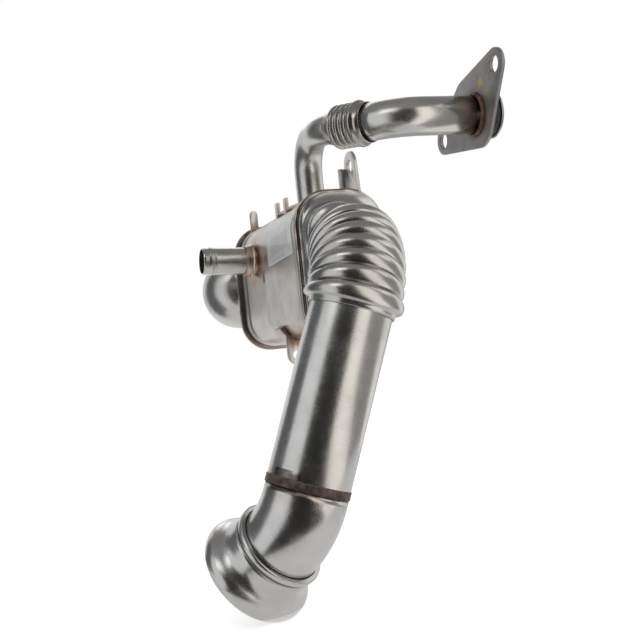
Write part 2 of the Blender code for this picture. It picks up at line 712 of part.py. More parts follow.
def build_down_pipe():
    start = PIPE_TOP - PIPE_WAY * BELLOWS_FOOT
    end = PIPE_TOP + PIPE_WAY * PIPE_LENGTH
    pipe_mesh = baked(turned(sleeve(PIPE_DIAMETER / 2, PIPE_WALL, 0, (end - start).length), BIG_ROUND_STEPS))
    pipe_mesh.transform(aimed(start, PIPE_WAY))
    keep(pipe_mesh, "down_pipe", roughness=0.3)
    angle = PIPE_WAY.angle(BELL_WAY)
    seam = end + PIPE_WAY * SEAT_GAP
    reach = ELBOW_RADIUS * math.tan(angle / 2)
    corner = seam + PIPE_WAY * (ELBOW_LEAD + reach)
    tail = corner + BELL_WAY * (reach + ELBOW_TAIL)
    pipe(route([(seam, 0), (corner, ELBOW_RADIUS), (tail, 0)], math.radians(10)), PIPE_DIAMETER,
         PIPE_WALL, BIG_ROUND_STEPS, "outlet_elbow", roughness=0.3)
    radius = PIPE_DIAMETER / 2 + SEAT_GAP
    half = WELD_WIDTH / 2
    bead = [
        (radius + 0.2 * MM, half), (radius + WELD_HEIGHT, half / 2), (radius + WELD_HEIGHT, -half / 2),
        (radius + 0.2 * MM, -half), (radius, -half), (radius, half),
    ]
    weld = baked(turned(bead, BIG_ROUND_STEPS))
    weld.transform(aimed(end - PIPE_WAY * half, PIPE_WAY))
    keep(weld, "seam_weld", colour=tinted_steel, roughness=0.55)
    build_bell(tail)


def build_bell(tail):
    """The bell mouth: a socket over the elbow, a rolled collar, a flare and a curled rim."""
    inner = PIPE_DIAMETER / 2 + SOCKET_GAP
    neck = inner + BELL_WALL
    rim = BELL_RADIUS
    outer = [
        (neck + BELL_COLLAR * 0.5, -0.9 * MM), (neck + BELL_COLLAR, 0), (neck + BELL_COLLAR * 0.8, 1.6 * MM),
        (neck, 3 * MM), (neck + 0.5 * MM, BELL_LENGTH * 0.33), (neck + 1.8 * MM, BELL_LENGTH * 0.47),
        (neck + 5 * MM, BELL_LENGTH * 0.57), (rim - 1.6 * MM, BELL_LENGTH * 0.68),
        (rim, BELL_LENGTH * 0.8), (rim - 0.8 * MM, BELL_LENGTH * 0.93), (rim - 3.4 * MM, BELL_LENGTH),
    ]
    wall = BELL_WALL
    inside = [
        (rim - 4.2 * MM, BELL_LENGTH - wall * 0.9), (rim - wall - 1.1 * MM, BELL_LENGTH * 0.9),
        (rim - wall, BELL_LENGTH * 0.8), (rim - wall - 1.4 * MM, BELL_LENGTH * 0.71),
        (neck + 3.4 * MM, BELL_LENGTH * 0.61), (neck + 0.3 * MM, BELL_LENGTH * 0.5),
        (inner, BELL_LENGTH * 0.36), (inner, -0.9 * MM),
    ]
    profile = [(radius, -height) for radius, height in outer + inside]
    mesh = baked(turned(profile, BIG_ROUND_STEPS))
    mesh.transform(Matrix.Rotation(math.pi, 4, "X"))
    mesh.transform(aimed(tail - BELL_WAY * BELL_SOCKET_DEPTH, BELL_WAY))
    keep(mesh, "bell_mouth", roughness=0.25)


def build_flex():
    """The small bellows: a cuff over the rear pipe, ridges, and a wider cuff over the front pipe."""
    rear = REAR_PIPE_DIAMETER / 2 + SOCKET_GAP + FLEX_WALL
    front = FRONT_PIPE_DIAMETER / 2 + SOCKET_GAP + FLEX_WALL
    length = FLEX_RIDGES * FLEX_PITCH
    start = FLEX_REAR_CUFF + FLEX_STEP
    outer = [(rear, 0), (rear, FLEX_REAR_CUFF)]
    outer += ridge_profile(FLEX_ROOT, FLEX_CREST, FLEX_PITCH, FLEX_RIDGES, start)[1:]
    outer += [(FLEX_CREST + FLEX_COLLAR, start + length + FLEX_COLLAR_FROM),
              (FLEX_CREST + FLEX_COLLAR, start + length + FLEX_COLLAR_TO),
              (front, start + length + FLEX_SHOULDER), (front, start + length + FLEX_FRONT_CUFF)]
    outer.reverse()
    thing = turned(outer, SMALL_ROUND_STEPS, closed=False)
    hollow(thing, FLEX_WALL)
    mesh = baked(thing)
    mesh.transform(aimed(FLEX_START, FLEX_WAY))
    keep(mesh, "pipe_bellows", roughness=0.35)
    return FLEX_START + FLEX_WAY * (start + length + FLEX_SHOULDER)


def build_gas_pipe():
    pipe(riser_route(RISER_SOCKET), REAR_PIPE_DIAMETER, THIN_WALL, SMALL_ROUND_STEPS, "riser_pipe",
         roughness=0.3)
    socket = build_flex()
    port = Vector((0, *PORT_PLACE))
    nose = port + Vector((FLANGE_FACE + NOSE_LENGTH, 0, 0))
    level = FLEX_WAY.y
    corner = socket + FLEX_WAY * ((port.y - socket.y) / level)
    corner.z = port.z
    points = route([(socket, 0), (corner, FLANGE_PIPE_TURN), (nose, 0)])
    pipe(points, FRONT_PIPE_DIAMETER, THIN_WALL, SMALL_ROUND_STEPS, "flange_pipe", roughness=0.25)
    build_flange(port)


def hull_outline(lobes, steps=5):
    """The outline round a ring of (y, z, radius) circles, in order, joined by straight tangents."""
    normals = []
    for lobe, following in zip(lobes, lobes[1:] + lobes[:1]):
        way = Vector(following[:2]) - Vector(lobe[:2])
        lean = math.asin((lobe[2] - following[2]) / way.length)
        normals.append(math.atan2(way.y, way.x) - math.radians(90) + lean)
    points = []
    for index, (y, z, radius) in enumerate(lobes):
        first = normals[index - 1]
        sweep = (normals[index] - first) % math.tau
        for step in range(steps + 1):
            angle = first + sweep * step / steps
            points.append(Vector((y + math.cos(angle) * radius, z + math.sin(angle) * radius)))
    return points


def sheet(outline, thickness):
    """A flat outline in XY, thickened along Z by a 2D curve's extrude."""
    curve = bpy.data.curves.new("sheet", "CURVE")
    curve.dimensions = "2D"
    curve.fill_mode = "BOTH"
    curve.extrude = thickness / 2
    spline = curve.splines.new("POLY")
    spline.points.add(len(outline) - 1)
    for target, point in zip(spline.points, outline):
        target.co = (point[0], point[1], 0, 1)
    spline.use_cyclic_u = True
    mesh = baked(loose(curve, "sheet"))
    work = bmesh.new()
    work.from_mesh(mesh)
    bmesh.ops.remove_doubles(work, verts=work.verts, dist=MERGE)
    bmesh.ops.recalc_face_normals(work, faces=work.faces)
    work.to_mesh(mesh)
    work.free()
    return mesh


def build_flange(port):
    middle = FLANGE_FACE - FLANGE_THICKNESS / 2
    lobes = [(port.y + across, port.z + up, radius) for across, up, radius in FLANGE_LOBES]
    mesh = sideways(hull_outline(lobes), FLANGE_FACE - FLANGE_THICKNESS, FLANGE_FACE)
    flange = keep(mesh, "pipe_flange", colour=grey_steel, roughness=0.45)
    bore = cutter(drum(FRONT_PIPE_DIAMETER / 2 + SOCKET_GAP, -FLANGE_THICKNESS, FLANGE_THICKNESS),
                  "flange_bore")
    bore.matrix_world = aimed(port + Vector((middle, 0, 0)), Vector((1, 0, 0)), Vector((0, 1, 0)))
    combine(flange, bore)
    for index in FLANGE_HOLES:
        y, z, _ = lobes[index]
        hole = cutter(drum(FLANGE_HOLE / 2, -FLANGE_THICKNESS, FLANGE_THICKNESS), "bolt_hole")
        hole.matrix_world = aimed(Vector((middle, y, z)), Vector((1, 0, 0)), Vector((0, 1, 0)))
        combine(flange, hole)
    along = aimed(port + Vector((FLANGE_FACE, 0, 0)), Vector((1, 0, 0)), Vector((0, 1, 0)))
    inner = FRONT_PIPE_DIAMETER / 2 + SOCKET_GAP
    lip = [
        (NOSE_RADIUS - 2 * NOSE_CHAMFER, NOSE_LENGTH), (NOSE_RADIUS, NOSE_LENGTH - NOSE_CHAMFER),
        (NOSE_RADIUS, NOSE_LENGTH - NOSE_LIP), (inner, NOSE_LENGTH - NOSE_LIP), (inner, NOSE_LENGTH),
    ]
    nose = baked(turned(lip, SMALL_ROUND_STEPS))
    nose.transform(along)
    keep(nose, "nose_ring", roughness=0.3)
    seal_end = NOSE_LENGTH - NOSE_LIP - SEAT_GAP
    seal = baked(turned(sleeve(SEAL_RADIUS, SEAL_RADIUS - inner, seal_end - SEAL_LENGTH,
                               seal_end), SMALL_ROUND_STEPS))
    seal.transform(along)
    keep(seal, "seal_ring", colour=graphite, roughness=0.7, metallic=0.0)
    bead = [(inner + SEAT_GAP, 0), (inner + FLANGE_WELD, -FLANGE_WELD), (inner, -FLANGE_WELD),
            (inner, 0)]
    mesh = baked(turned(bead, SMALL_ROUND_STEPS))
    mesh.transform(aimed(port + Vector((FLANGE_FACE - FLANGE_THICKNESS - SEAT_GAP, 0, 0)),
                         Vector((-1, 0, 0)), Vector((0, 1, 0))) @ Matrix.Translation((0, 0, FLANGE_WELD)))
    keep(mesh, "flange_weld", colour=tinted_steel, roughness=0.55)


def upright(outline, near, far):
    """A flat outline in X and Z, thickened along Y from near to far."""
    mesh = sheet(outline, far - near)
    middle = (near + far) / 2
    mesh.transform(Matrix(((1, 0, 0, 0), (0, 0, -1, middle), (0, 1, 0, 0), (0, 0, 0, 1))))
    return mesh


def sideways(outline, near, far):
    """A flat outline in Y and Z, thickened along X from near to far."""
    mesh = sheet(outline, far - near)
    middle = (near + far) / 2
    mesh.transform(Matrix(((0, 0, 1, middle), (1, 0, 0, 0), (0, 1, 0, 0), (0, 0, 0, 1))))
    return mesh


def arch(left, right, bottom, top, steps):
    """An upright outline with a straight foot and a round head as wide as the foot."""
    radius = (right - left) / 2
    outline = [Vector((left, bottom)), Vector((right, bottom))]
    for step in range(steps + 1):
        angle = math.pi * step / steps
        outline.append(Vector((left + radius + math.cos(angle) * radius,
                               top - radius + math.sin(angle) * radius)))
    return outline


def housing_room(name):
    """A cutter shaped like the housing with a seat's gap round it."""
    half = HOUSING_WIDTH / 2 + SEAT_GAP
    low = (-half, -HOUSING_LENGTH, -SEAT_GAP)
    high = (half, HOUSING_LENGTH, HOUSING_HEIGHT + SEAT_GAP)
    return cutter(box(low, high, rounding=HOUSING_RADIUS + SEAT_GAP, along=1, segments=6), name)


def build_saddle():
    """The upper bracket: a strip folded over the housing's top edge and up into a bolted ear."""
    centre = Vector((HOUSING_RADIUS - HOUSING_WIDTH / 2, HOUSING_HEIGHT - HOUSING_RADIUS))
    inside = []
    outside = []
    for step in range(4):
        angle = math.radians(90) + SADDLE_WRAP * (1 - step / 3)
        way = Vector((math.cos(angle), math.sin(angle)))
        inside.append(centre + way * (HOUSING_RADIUS - SEAT_BITE))
        outside.append(centre + way * (HOUSING_RADIUS + SEAT_GAP + SHEET))
    inside[-1].y = HOUSING_HEIGHT
    outline = inside + [Vector((EAR_PLACE, HOUSING_HEIGHT)), Vector((EAR_PLACE, outside[-1].y))]
    outline += outside[::-1]
    saddle = keep(upright(outline, SADDLE_FROM, SADDLE_TO), "saddle_bracket", roughness=0.35)
    middle = (SADDLE_FROM + SADDLE_TO) / 2
    ear = arch(middle - EAR_RADIUS, middle + EAR_RADIUS, HOUSING_HEIGHT, EAR_TOP, 8)
    ear[0].x = SADDLE_FROM
    ear[1].x = SADDLE_TO
    combine(saddle, cutter(sideways(ear, EAR_PLACE - SHEET, EAR_PLACE), "ear_plate"), "UNION")
    fold = [Vector((EAR_PLACE - SHEET - EAR_FLANGE, HOUSING_HEIGHT)), Vector((EAR_PLACE, HOUSING_HEIGHT)),
            Vector((EAR_PLACE, FOLD_TOP - EAR_FLANGE)), Vector((EAR_PLACE - SHEET, FOLD_TOP)),
            Vector((EAR_PLACE - SHEET - EAR_FLANGE, FOLD_TOP))]
    combine(saddle, cutter(upright(fold, SADDLE_TO - SHEET, SADDLE_TO), "ear_fold"), "UNION")
    for name, y in (("front_foot", SADDLE_FROM), ("rear_foot", SADDLE_TO - FOOT_WIDTH)):
        foot = box((FOOT_PLACE - SHEET / 2, y, HOUSING_HEIGHT - HOUSING_RADIUS / 2),
                   (FOOT_PLACE + SHEET / 2, y + FOOT_WIDTH, FOOT_HEIGHT))
        combine(saddle, cutter(foot, name), "UNION")
    hole = cutter(drum(EAR_HOLE / 2, -2 * SHEET, 2 * SHEET), "ear_hole")
    hole.matrix_world = aimed(Vector((EAR_PLACE - SHEET / 2, middle, EAR_TOP - EAR_RADIUS)),
                              Vector((1, 0, 0)), Vector((0, 1, 0)))
    combine(saddle, hole)
    combine(saddle, housing_room("saddle_seat"))


def build_lug():
    x, y = LUG_PLACE
    outline = arch(x - LUG_WIDTH / 2, x + LUG_WIDTH / 2, HOUSING_HEIGHT - HOUSING_RADIUS / 3, LUG_TOP, 6)
    lug = keep(upright(outline, y, y + SHEET), "top_lug", roughness=0.35)
    combine(lug, housing_room("lug_seat"))


def build_tab():
    """The lower bracket: a foot wrapped round the lower edge and a leg that hangs down with a hole."""
    x, y = TAB_PLACE
    half = TAB_WIDTH / 2
    centre = Vector((HOUSING_RADIUS - HOUSING_WIDTH / 2, HOUSING_RADIUS))
    inside = []
    outside = []
    steps = 5
    for step in range(steps + 1):
        angle = TAB_WRAP[0] + (TAB_WRAP[1] - TAB_WRAP[0]) * step / steps
        way = Vector((math.cos(angle), math.sin(angle)))
        inside.append(centre + way * (HOUSING_RADIUS - SEAT_BITE))
        outside.append(centre + way * (HOUSING_RADIUS + SEAT_GAP + SHEET))
    plate = keep(upright(outside + inside[::-1], y, y + TAB_FOOT), "lower_bracket", roughness=0.35)
    leg = arch(x - half, x + half, -HOUSING_RADIUS / 2, TAB_HEIGHT, 8)
    for point in leg:
        point.y = -point.y
    combine(plate, cutter(upright(leg[::-1], y, y + SHEET), "tab_leg"), "UNION")
    combine(plate, housing_room("tab_seat"))
    hole = cutter(drum(TAB_HOLE / 2, -2 * SHEET, 2 * SHEET), "tab_hole")
    hole.matrix_world = aimed(Vector((x, y + SHEET / 2, half - TAB_HEIGHT)), Vector((0, 1, 0)))
    combine(plate, hole)


build_housing()
build_core()
build_spigot(-1, INLET_PLACE, "coolant_inlet")
build_spigot(1, OUTLET_PLACE, "coolant_outlet")
build_front_hood()
build_rear_hood()
build_bellows()
build_down_pipe()
build_gas_pipe()
build_saddle()
build_lug()
build_tab()
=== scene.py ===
# Exhaust gas cooler: rounded core housing, pressed hoods, bent gas bellows with its down pipe and
# bell mouth, coolant spigots, and a small gas pipe that ends in a bolted flange.
import bpy
import bmesh
import math
from mathutils import Matrix, Vector, noise


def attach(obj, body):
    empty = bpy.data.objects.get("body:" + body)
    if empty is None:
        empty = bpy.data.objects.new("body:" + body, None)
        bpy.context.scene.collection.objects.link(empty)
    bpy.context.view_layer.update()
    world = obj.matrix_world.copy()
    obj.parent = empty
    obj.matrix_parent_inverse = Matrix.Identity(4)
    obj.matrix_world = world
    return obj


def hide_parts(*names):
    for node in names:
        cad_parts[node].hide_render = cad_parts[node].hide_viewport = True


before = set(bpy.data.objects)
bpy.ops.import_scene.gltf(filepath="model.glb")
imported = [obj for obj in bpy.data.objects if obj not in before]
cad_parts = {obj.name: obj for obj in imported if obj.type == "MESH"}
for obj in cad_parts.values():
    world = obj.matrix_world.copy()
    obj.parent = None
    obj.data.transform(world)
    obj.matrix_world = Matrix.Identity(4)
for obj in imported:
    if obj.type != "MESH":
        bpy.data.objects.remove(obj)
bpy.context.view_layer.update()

mm = 0.001
slip = 0.4                           # room between one tube and the next, in mm
scene = bpy.context.scene


def at(x, y, z):                     # a place given in millimetres
    return Vector((x, y, z)) * mm


# Shader helpers.

class Wire:                          # one output socket that can be used in sums
    def __init__(self, maker, socket):
        self.maker, self.socket = maker, socket

    def sums(self, operation, first, second):
        return self.maker.node("ShaderNodeMath", {"operation": operation}, {0: first, 1: second})

    def __add__(self, other):
        return self.sums("ADD", self, other)

    def __sub__(self, other):
        return self.sums("SUBTRACT", self, other)

    def __rsub__(self, other):
        return self.sums("SUBTRACT", other, self)

    def __mul__(self, other):
        return self.sums("MULTIPLY", self, other)

    def __pow__(self, other):
        return self.sums("POWER", self, other)

    __radd__, __rmul__ = __add__, __mul__

    def most(self, other):
        return self.sums("MAXIMUM", self, other)

    def least(self, other):
        return self.sums("MINIMUM", self, other)

    def fade(self, start, end):      # 0 at start, 1 at end, soft between
        return self.maker.node("ShaderNodeMapRange", {"interpolation_type": "SMOOTHSTEP"},
                               {"Value": self, "From Min": start, "From Max": end})

    def size(self):
        return self.sums("ABSOLUTE", self, 0)


class Nodes:                         # makes and joins the nodes of one tree
    def __init__(self, tree):
        self.tree = tree

    def join(self, socket, value):
        if isinstance(value, Wire):
            self.tree.links.new(value.socket, socket)
        else:
            socket.default_value = value

    def node(self, kind, settings=None, sockets=None, out=0):
        made = self.tree.nodes.new(kind)
        for key, value in (settings or {}).items():
            setattr(made, key, value)
        for key, value in (sockets or {}).items():
            self.join(made.inputs[key], value)
        return Wire(self, made.outputs[out])


class Finish(Nodes):                 # one material and the nodes that make it
    def __init__(self, name, centre=(0, 0, 0), way=(0, 0, 1)):
        self.material = bpy.data.materials.new(name)
        self.material.use_nodes = True
        super().__init__(self.material.node_tree)
        self.shader = self.tree.nodes["Principled BSDF"]
        self.spot = self.node("ShaderNodeTexCoord", out="Object")
        turn = Vector((0, 0, 1)).rotation_difference(Vector(way)).to_euler()
        self.local = self.node("ShaderNodeMapping", {"vector_type": "TEXTURE"},
                               {"Vector": self.spot, "Location": Vector(centre) * mm,
                                "Rotation": tuple(turn)})
        self.colour = None

    def feed(self, name, value):     # a socket of the surface shader
        self.join(self.shader.inputs[name], value)

    def show(self, wire):            # what the material shows in place of its shader
        self.join(self.tree.nodes["Material Output"].inputs["Surface"], wire)

    def vectors(self, operation, first, second=(0, 0, 0), out=0):
        return self.node("ShaderNodeVectorMath", {"operation": operation},
                         {0: first, 1: second}, out)

    def cloud(self, scale, detail=3, vector=None, rough=0.55):
        return self.node("ShaderNodeTexNoise", None,
                         {"Vector": vector or self.spot, "Scale": scale, "Detail": detail,
                          "Roughness": rough}, "Fac")

    def axis(self, name, vector=None):
        return self.node("ShaderNodeSeparateXYZ", None, {0: vector or self.spot}, name)

    def along(self):                 # distance along the finish's own axis
        return self.axis("Z", self.local)

    def away(self, point):           # distance from a place given in millimetres
        return self.vectors("DISTANCE", self.spot, Vector(point) * mm, "Value")

    def aside(self, vector, factors):            # distance from an axis, where its factor is 0
        return self.vectors("LENGTH", self.vectors("MULTIPLY", vector, factors), out="Value")

    def blend(self, share, first, second):
        def full(colour):
            return colour if isinstance(colour, Wire) else (*colour, 1)
        return self.node("ShaderNodeMix", {"data_type": "RGBA"},
                         {0: share, 6: full(first), 7: full(second)}, 2)

    def tint(self, share, colour):   # paints a colour over what is there
        self.colour = self.blend(share, self.colour, colour)

    def bump(self, height, strength, distance):
        self.feed("Normal", self.node("ShaderNodeBump", None, {
            "Height": height, "Strength": strength, "Distance": distance}))


steelTone = (0.56, 0.55, 0.535)
copperTone = (0.52, 0.27, 0.16)
steelLook = {"broad": 26, "smudge": 90, "grain": 2600, "lines": 3200, "along": 45, "spots": 420,
             "dark": 0.86, "pale": 1.07, "streak": 0.8, "spot": 0.45, "bump": 0.10, "deep": 0.0002}


def scaled(tone, factor):
    return tuple(min(1, c * factor) for c in tone)


# Satin stainless steel. lines runs "round" the local Z, "long" down it, or None.
def steel(name, tone=steelTone, rough=0.24, centre=(0, 0, 0), way=(0, 0, 1), lines="round",
          grain=1.0, dirt=0.0):
    look = steelLook
    finish = Finish(name, centre, way)
    broad = finish.cloud(look["broad"], 3)
    smudge = finish.cloud(look["smudge"], 5, rough=0.65)
    fine = finish.cloud(look["grain"], 2)
    wide, long = (look["along"], look["lines"]) if lines == "round" else (look["lines"], look["along"])
    streak = fine
    if lines:
        streak = finish.cloud(1, 2, finish.vectors("MULTIPLY", finish.local, (wide, wide, long)))
    finish.colour = finish.blend(broad.fade(0.3, 0.7), scaled(tone, look["dark"]),
                                 scaled(tone, look["pale"]))
    finish.tint(streak.fade(0.35, 0.65) * 0.16, scaled(tone, look["streak"]))
    spots = finish.cloud(look["spots"], 4, rough=0.7).fade(0.66, 0.78)
    finish.tint(spots * (0.18 + dirt), scaled(tone, look["spot"]))
    finish.rough = smudge.fade(0.3, 0.75) * 0.09 + (rough - 0.04) + (streak - 0.5) * 0.07
    finish.height = fine * 0.5 + streak * 0.5
    finish.grain = grain
    finish.feed("Metallic", 1.0)
    return finish


def close(finish, extraRough=None):  # joins the last sockets of a steel
    rough = finish.rough if extraRough is None else finish.rough + extraRough
    finish.feed("Base Color", finish.colour)
    finish.feed("Roughness", rough.least(0.95).most(0.08))
    finish.bump(finish.height, steelLook["bump"] * finish.grain, steelLook["deep"])
    return finish.material


# Shape helpers.

def aimed(place, way, side=(1, 0, 0)):       # Z runs along way, X lies near side
    z, side = Vector(way).normalized(), Vector(side)
    if abs(z.dot(side)) > 0.99:
        side = Vector((0, 1, 0))
    x = (side - z * side.dot(z)).normalized()
    turn = Matrix((x, z.cross(x), z)).transposed()
    return Matrix.Translation(place) @ turn.to_4x4()


def turnedOut(work):                 # faces point outwards
    bmesh.ops.recalc_face_normals(work, faces=work.faces)
    return work


def merged(work, within=0.005):
    bmesh.ops.remove_doubles(work, verts=work.verts, dist=within * mm)


def objectOf(name, work, material=None):
    mesh = bpy.data.meshes.new(name)
    work.to_mesh(mesh)
    work.free()
    if material:
        mesh.materials.append(material)
    thing = bpy.data.objects.new(name, mesh)
    scene.collection.objects.link(thing)
    return thing


# A finished piece, attached to the root body. Unless replaces is off, it hides the CAD node of that
# name, which it stands in for.
def dressed(name, work, material, node, wall=0, sharp=40, replaces=True):
    thing = objectOf(name, work, material)
    thing.data.shade_smooth()
    thing.data.set_sharp_from_angle(angle=math.radians(sharp))
    if wall:
        skin = thing.modifiers.new("wall", "SOLIDIFY")
        skin.thickness, skin.offset, skin.use_even_offset = wall * mm, -1, True
    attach(thing, "root")
    if replaces:
        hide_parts(node)
    return thing


def applied(thing):                  # bakes the modifiers of a piece into its mesh
    graph = bpy.context.evaluated_depsgraph_get()
    mesh = bpy.data.meshes.new_from_object(thing.evaluated_get(graph))
    thing.modifiers.clear()
    thing.data = mesh


def spun(profile, segments, matrix=None, closed=True):   # (radius, height, rounding) in mm
    work = bmesh.new()
    points = [work.verts.new((p[0] * mm, 0, p[1] * mm)) for p in profile]
    for first, second in zip(points, points[1:] + points[:1] if closed else points[1:]):
        work.edges.new((first, second))
    sizes = {}
    for point, p in zip(points, profile):
        if len(p) > 2:
            sizes.setdefault(p[2], []).append(point)
    for size, corners in sizes.items():
        bmesh.ops.bevel(work, geom=corners, offset=size * mm, segments=5, profile=0.5,
                        affect="VERTICES", material=-1, clamp_overlap=True)
    bmesh.ops.spin(work, geom=work.verts[:] + work.edges[:], cent=(0, 0, 0), axis=(0, 0, 1),
                   angle=math.tau, steps=segments, use_merge=True)
    merged(work)
    turnedOut(work)
    if matrix is not None:
        bmesh.ops.transform(work, matrix=matrix, verts=work.verts)
    return work


def sweep(stations, radius, segments):       # a round skin through a row of frames
    work = bmesh.new()
    last = stations[0]
    bmesh.ops.create_circle(work, segments=segments, radius=radius, matrix=last)
    ring = work.edges[:]
    for place in stations[1:]:
        grown = bmesh.ops.extrude_edge_only(work, edges=ring)["geom"]
        fresh = [g for g in grown if isinstance(g, bmesh.types.BMVert)]
        bmesh.ops.transform(work, matrix=place @ last.inverted(), verts=fresh)
        held = set(fresh)
        ring = [g for g in grown if isinstance(g, bmesh.types.BMEdge) and set(g.verts) <= held]
        last = place
    return turnedOut(work)


def route(corners, step=4):          # points with each (place, radius) corner rounded, in metres
    points = [corners[0][0].copy()]
    for before, (point, radius), after in zip(corners, corners[1:], corners[2:]):
        back = (before[0] - point).normalized()
        ahead = (after[0] - point).normalized()
        angle = math.pi - back.angle(ahead)
        reach = radius * math.tan(angle / 2)
        centre = point + (back + ahead).normalized() * (radius / math.cos(angle / 2))
        start = point + back * reach - centre
        axis = (-back).cross(ahead).normalized()
        count = max(2, round(math.degrees(angle) / step))
        points += [centre + Matrix.Rotation(angle * i / count, 3, axis) @ start
                   for i in range(count + 1)]
    points.append(corners[-1][0].copy())
    return points[:1] + [spot for last, spot in zip(points, points[1:])
                         if (spot - last).length > 0.02 * mm]


def stationsAlong(points):           # frames carried along a path without twist
    ways = [(after - before).normalized() for before, after in zip(points, points[1:])]
    turn = aimed(points[0], ways[0]).to_3x3()
    stations = []
    for index, point in enumerate(points):
        way = (ways[max(index - 1, 0)] + ways[min(index, len(ways) - 1)]).normalized()
        turn = turn.col[2].rotation_difference(way).to_matrix() @ turn
        stations.append(Matrix.Translation(point) @ turn.to_4x4())
    return stations


def roundedLoop(width, height, radius, corner, side):    # a rounded rectangle, point by point
    loop = []
    spots = ((1, 1), (-1, 1), (-1, -1), (1, -1))

    def turn(index, share):
        across, up = spots[index % 4]
        angle = math.radians(90) * (index + share)
        return Vector((across * (width / 2 - radius) + math.cos(angle) * radius,
                       up * (height / 2 - radius) + math.sin(angle) * radius))

    for index in range(4):
        loop += [turn(index, i / (corner - 1)) for i in range(corner)]
        start, goal = loop[-1], turn(index + 1, 0)
        loop += [start.lerp(goal, i / (side + 1)) for i in range(1, side + 1)]
    return loop


def circleLoop(radius, corner, side):
    count = 4 * (corner + side)
    step = math.tau / count
    start = math.radians(45) - step * (corner - 1) / 2
    return [Vector((math.cos(start + step * i), math.sin(start + step * i))) * radius
            for i in range(count)]


def skinThrough(rings):              # an open skin through rings that answer point by point
    work = bmesh.new()
    bmesh.ops.create_circle(work, segments=len(rings[0]), radius=1)
    row = work.verts[:]
    for vertex, spot in zip(row, rings[0]):
        vertex.co = spot
    for ring in rings[1:]:
        held = set(row)
        edges = {e for v in row for e in v.link_edges if e.other_vert(v) in held}
        grown = bmesh.ops.extrude_edge_only(work, edges=list(edges))["geom"]
        fresh = {g for g in grown if isinstance(g, bmesh.types.BMVert)}
        row = [next(e.other_vert(v) for e in v.link_edges if e.other_vert(v) in fresh)
               for v in row]
        for vertex, spot in zip(row, ring):
            vertex.co = spot
    return work


def closedSkin(rings):
    work = skinThrough(rings)
    bmesh.ops.holes_fill(work, edges=[e for e in work.edges if e.is_boundary], sides=0)
    return turnedOut(work)


def eased(work, width, segments, angle=math.degrees(1), clamp=False):    # bevels its sharp edges
    edges = [e for e in work.edges if e.is_manifold and e.calc_face_angle(0) > math.radians(angle)]
    bmesh.ops.bevel(work, geom=edges, offset=width * mm, segments=segments, profile=0.5,
                    affect="EDGES", material=-1, clamp_overlap=clamp)
    return work


def softened(node, width, segments=3, angle=30):         # a merged copy with its edges eased
    work = bmesh.new()
    work.from_mesh(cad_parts[node].data)
    merged(work, 0.01)
    bmesh.ops.dissolve_limit(work, angle_limit=math.radians(2), verts=work.verts, edges=work.edges)
    return eased(turnedOut(work), width, segments, angle, True)


def smoothShare(share):
    return share * share * (3 - 2 * share)


# Camera, as it looks at the object in the picture.
eye = bpy.data.cameras.new("eye")
eye.lens, eye.sensor_width, eye.clip_start, eye.clip_end = 55.125, 36, 0.01, 50
camera = bpy.data.objects.new("camera", eye)
camera.matrix_world = Matrix(((0.942808, 0.087850, -0.321551, -0.213276),
                              (-0.317048, -0.061517, -0.946412, -0.649658),
                              (-0.102923, 0.994232, -0.030146, -0.006420),
                              (0, 0, 0, 1)))
scene.collection.objects.link(camera)
scene.camera = camera
print("camera set")


# Big gas line: bellows, down pipe, elbow and bell mouth.
gasLine = {"pipeRadius": 24, "wall": 1.5, "pipeTop": (-16.6, -130, 16.4), "pipeLength": 106.4,
           "pipeWay": (-0.346, 0.031, -0.938), "outletWay": (-0.149, -0.899, -0.413),
           "bellWay": (-0.48, 0.62, -0.62), "elbowRadius": 43, "elbowLead": 3.3,
           "elbowTail": 9.6}
pipeWay = Vector(gasLine["pipeWay"]).normalized()
outletWay = Vector(gasLine["outletWay"]).normalized()
bellWay = Vector(gasLine["bellWay"]).normalized()
pipeTop = at(*gasLine["pipeTop"])

bellows = {"length": 47.3, "ridges": 7, "root": 24.7, "crest": 27.9, "wall": 0.8, "cuff": 7,
           "foot": 3, "perRidge": 14, "segments": 112, "lastCrest": 29.2, "lastRidge": (
               (0, 0), (0.05, 0.35), (0.13, 0.68), (0.25, 0.88), (0.4, 0.98), (0.55, 1.0),
               (0.7, 0.97), (0.82, 0.86), (0.91, 0.66), (0.97, 0.36)),
           "easeFrom": -0.150, "ease": 20.5}
bendAngle = outletWay.angle(pipeWay)
bendRadius = bellows["length"] * mm / bendAngle
bendSide = (pipeWay - outletWay * outletWay.dot(pipeWay)).normalized()
outletPlace = pipeTop - (outletWay * math.sin(bendAngle)
                         + bendSide * (1 - math.cos(bendAngle))) * bendRadius


def alongBend(spot):                 # carries a point of the straight bellows onto its bend
    run = min(max(spot.z, 0), bellows["length"] * mm)
    angle = run / bendRadius
    ahead = outletWay * math.cos(angle) + bendSide * math.sin(angle)
    inward = bendSide * math.cos(angle) - outletWay * math.sin(angle)
    across = outletWay.cross(bendSide)
    centre = (outletPlace + outletWay * bendRadius * math.sin(angle)
              + bendSide * bendRadius * (1 - math.cos(angle)))
    return centre + ahead * (spot.z - run) + inward * spot.x + across * spot.y


def ridgeLine(root, crest, pitch, ridges, steps, start, power=0.62):
    profile = []
    for index in range(ridges * steps):
        share = (index % steps) / steps
        lift = (1 - (2 * share - 1) ** 2) ** power
        profile.append((root + (crest - root) * lift, start + pitch * index / steps))
    return profile


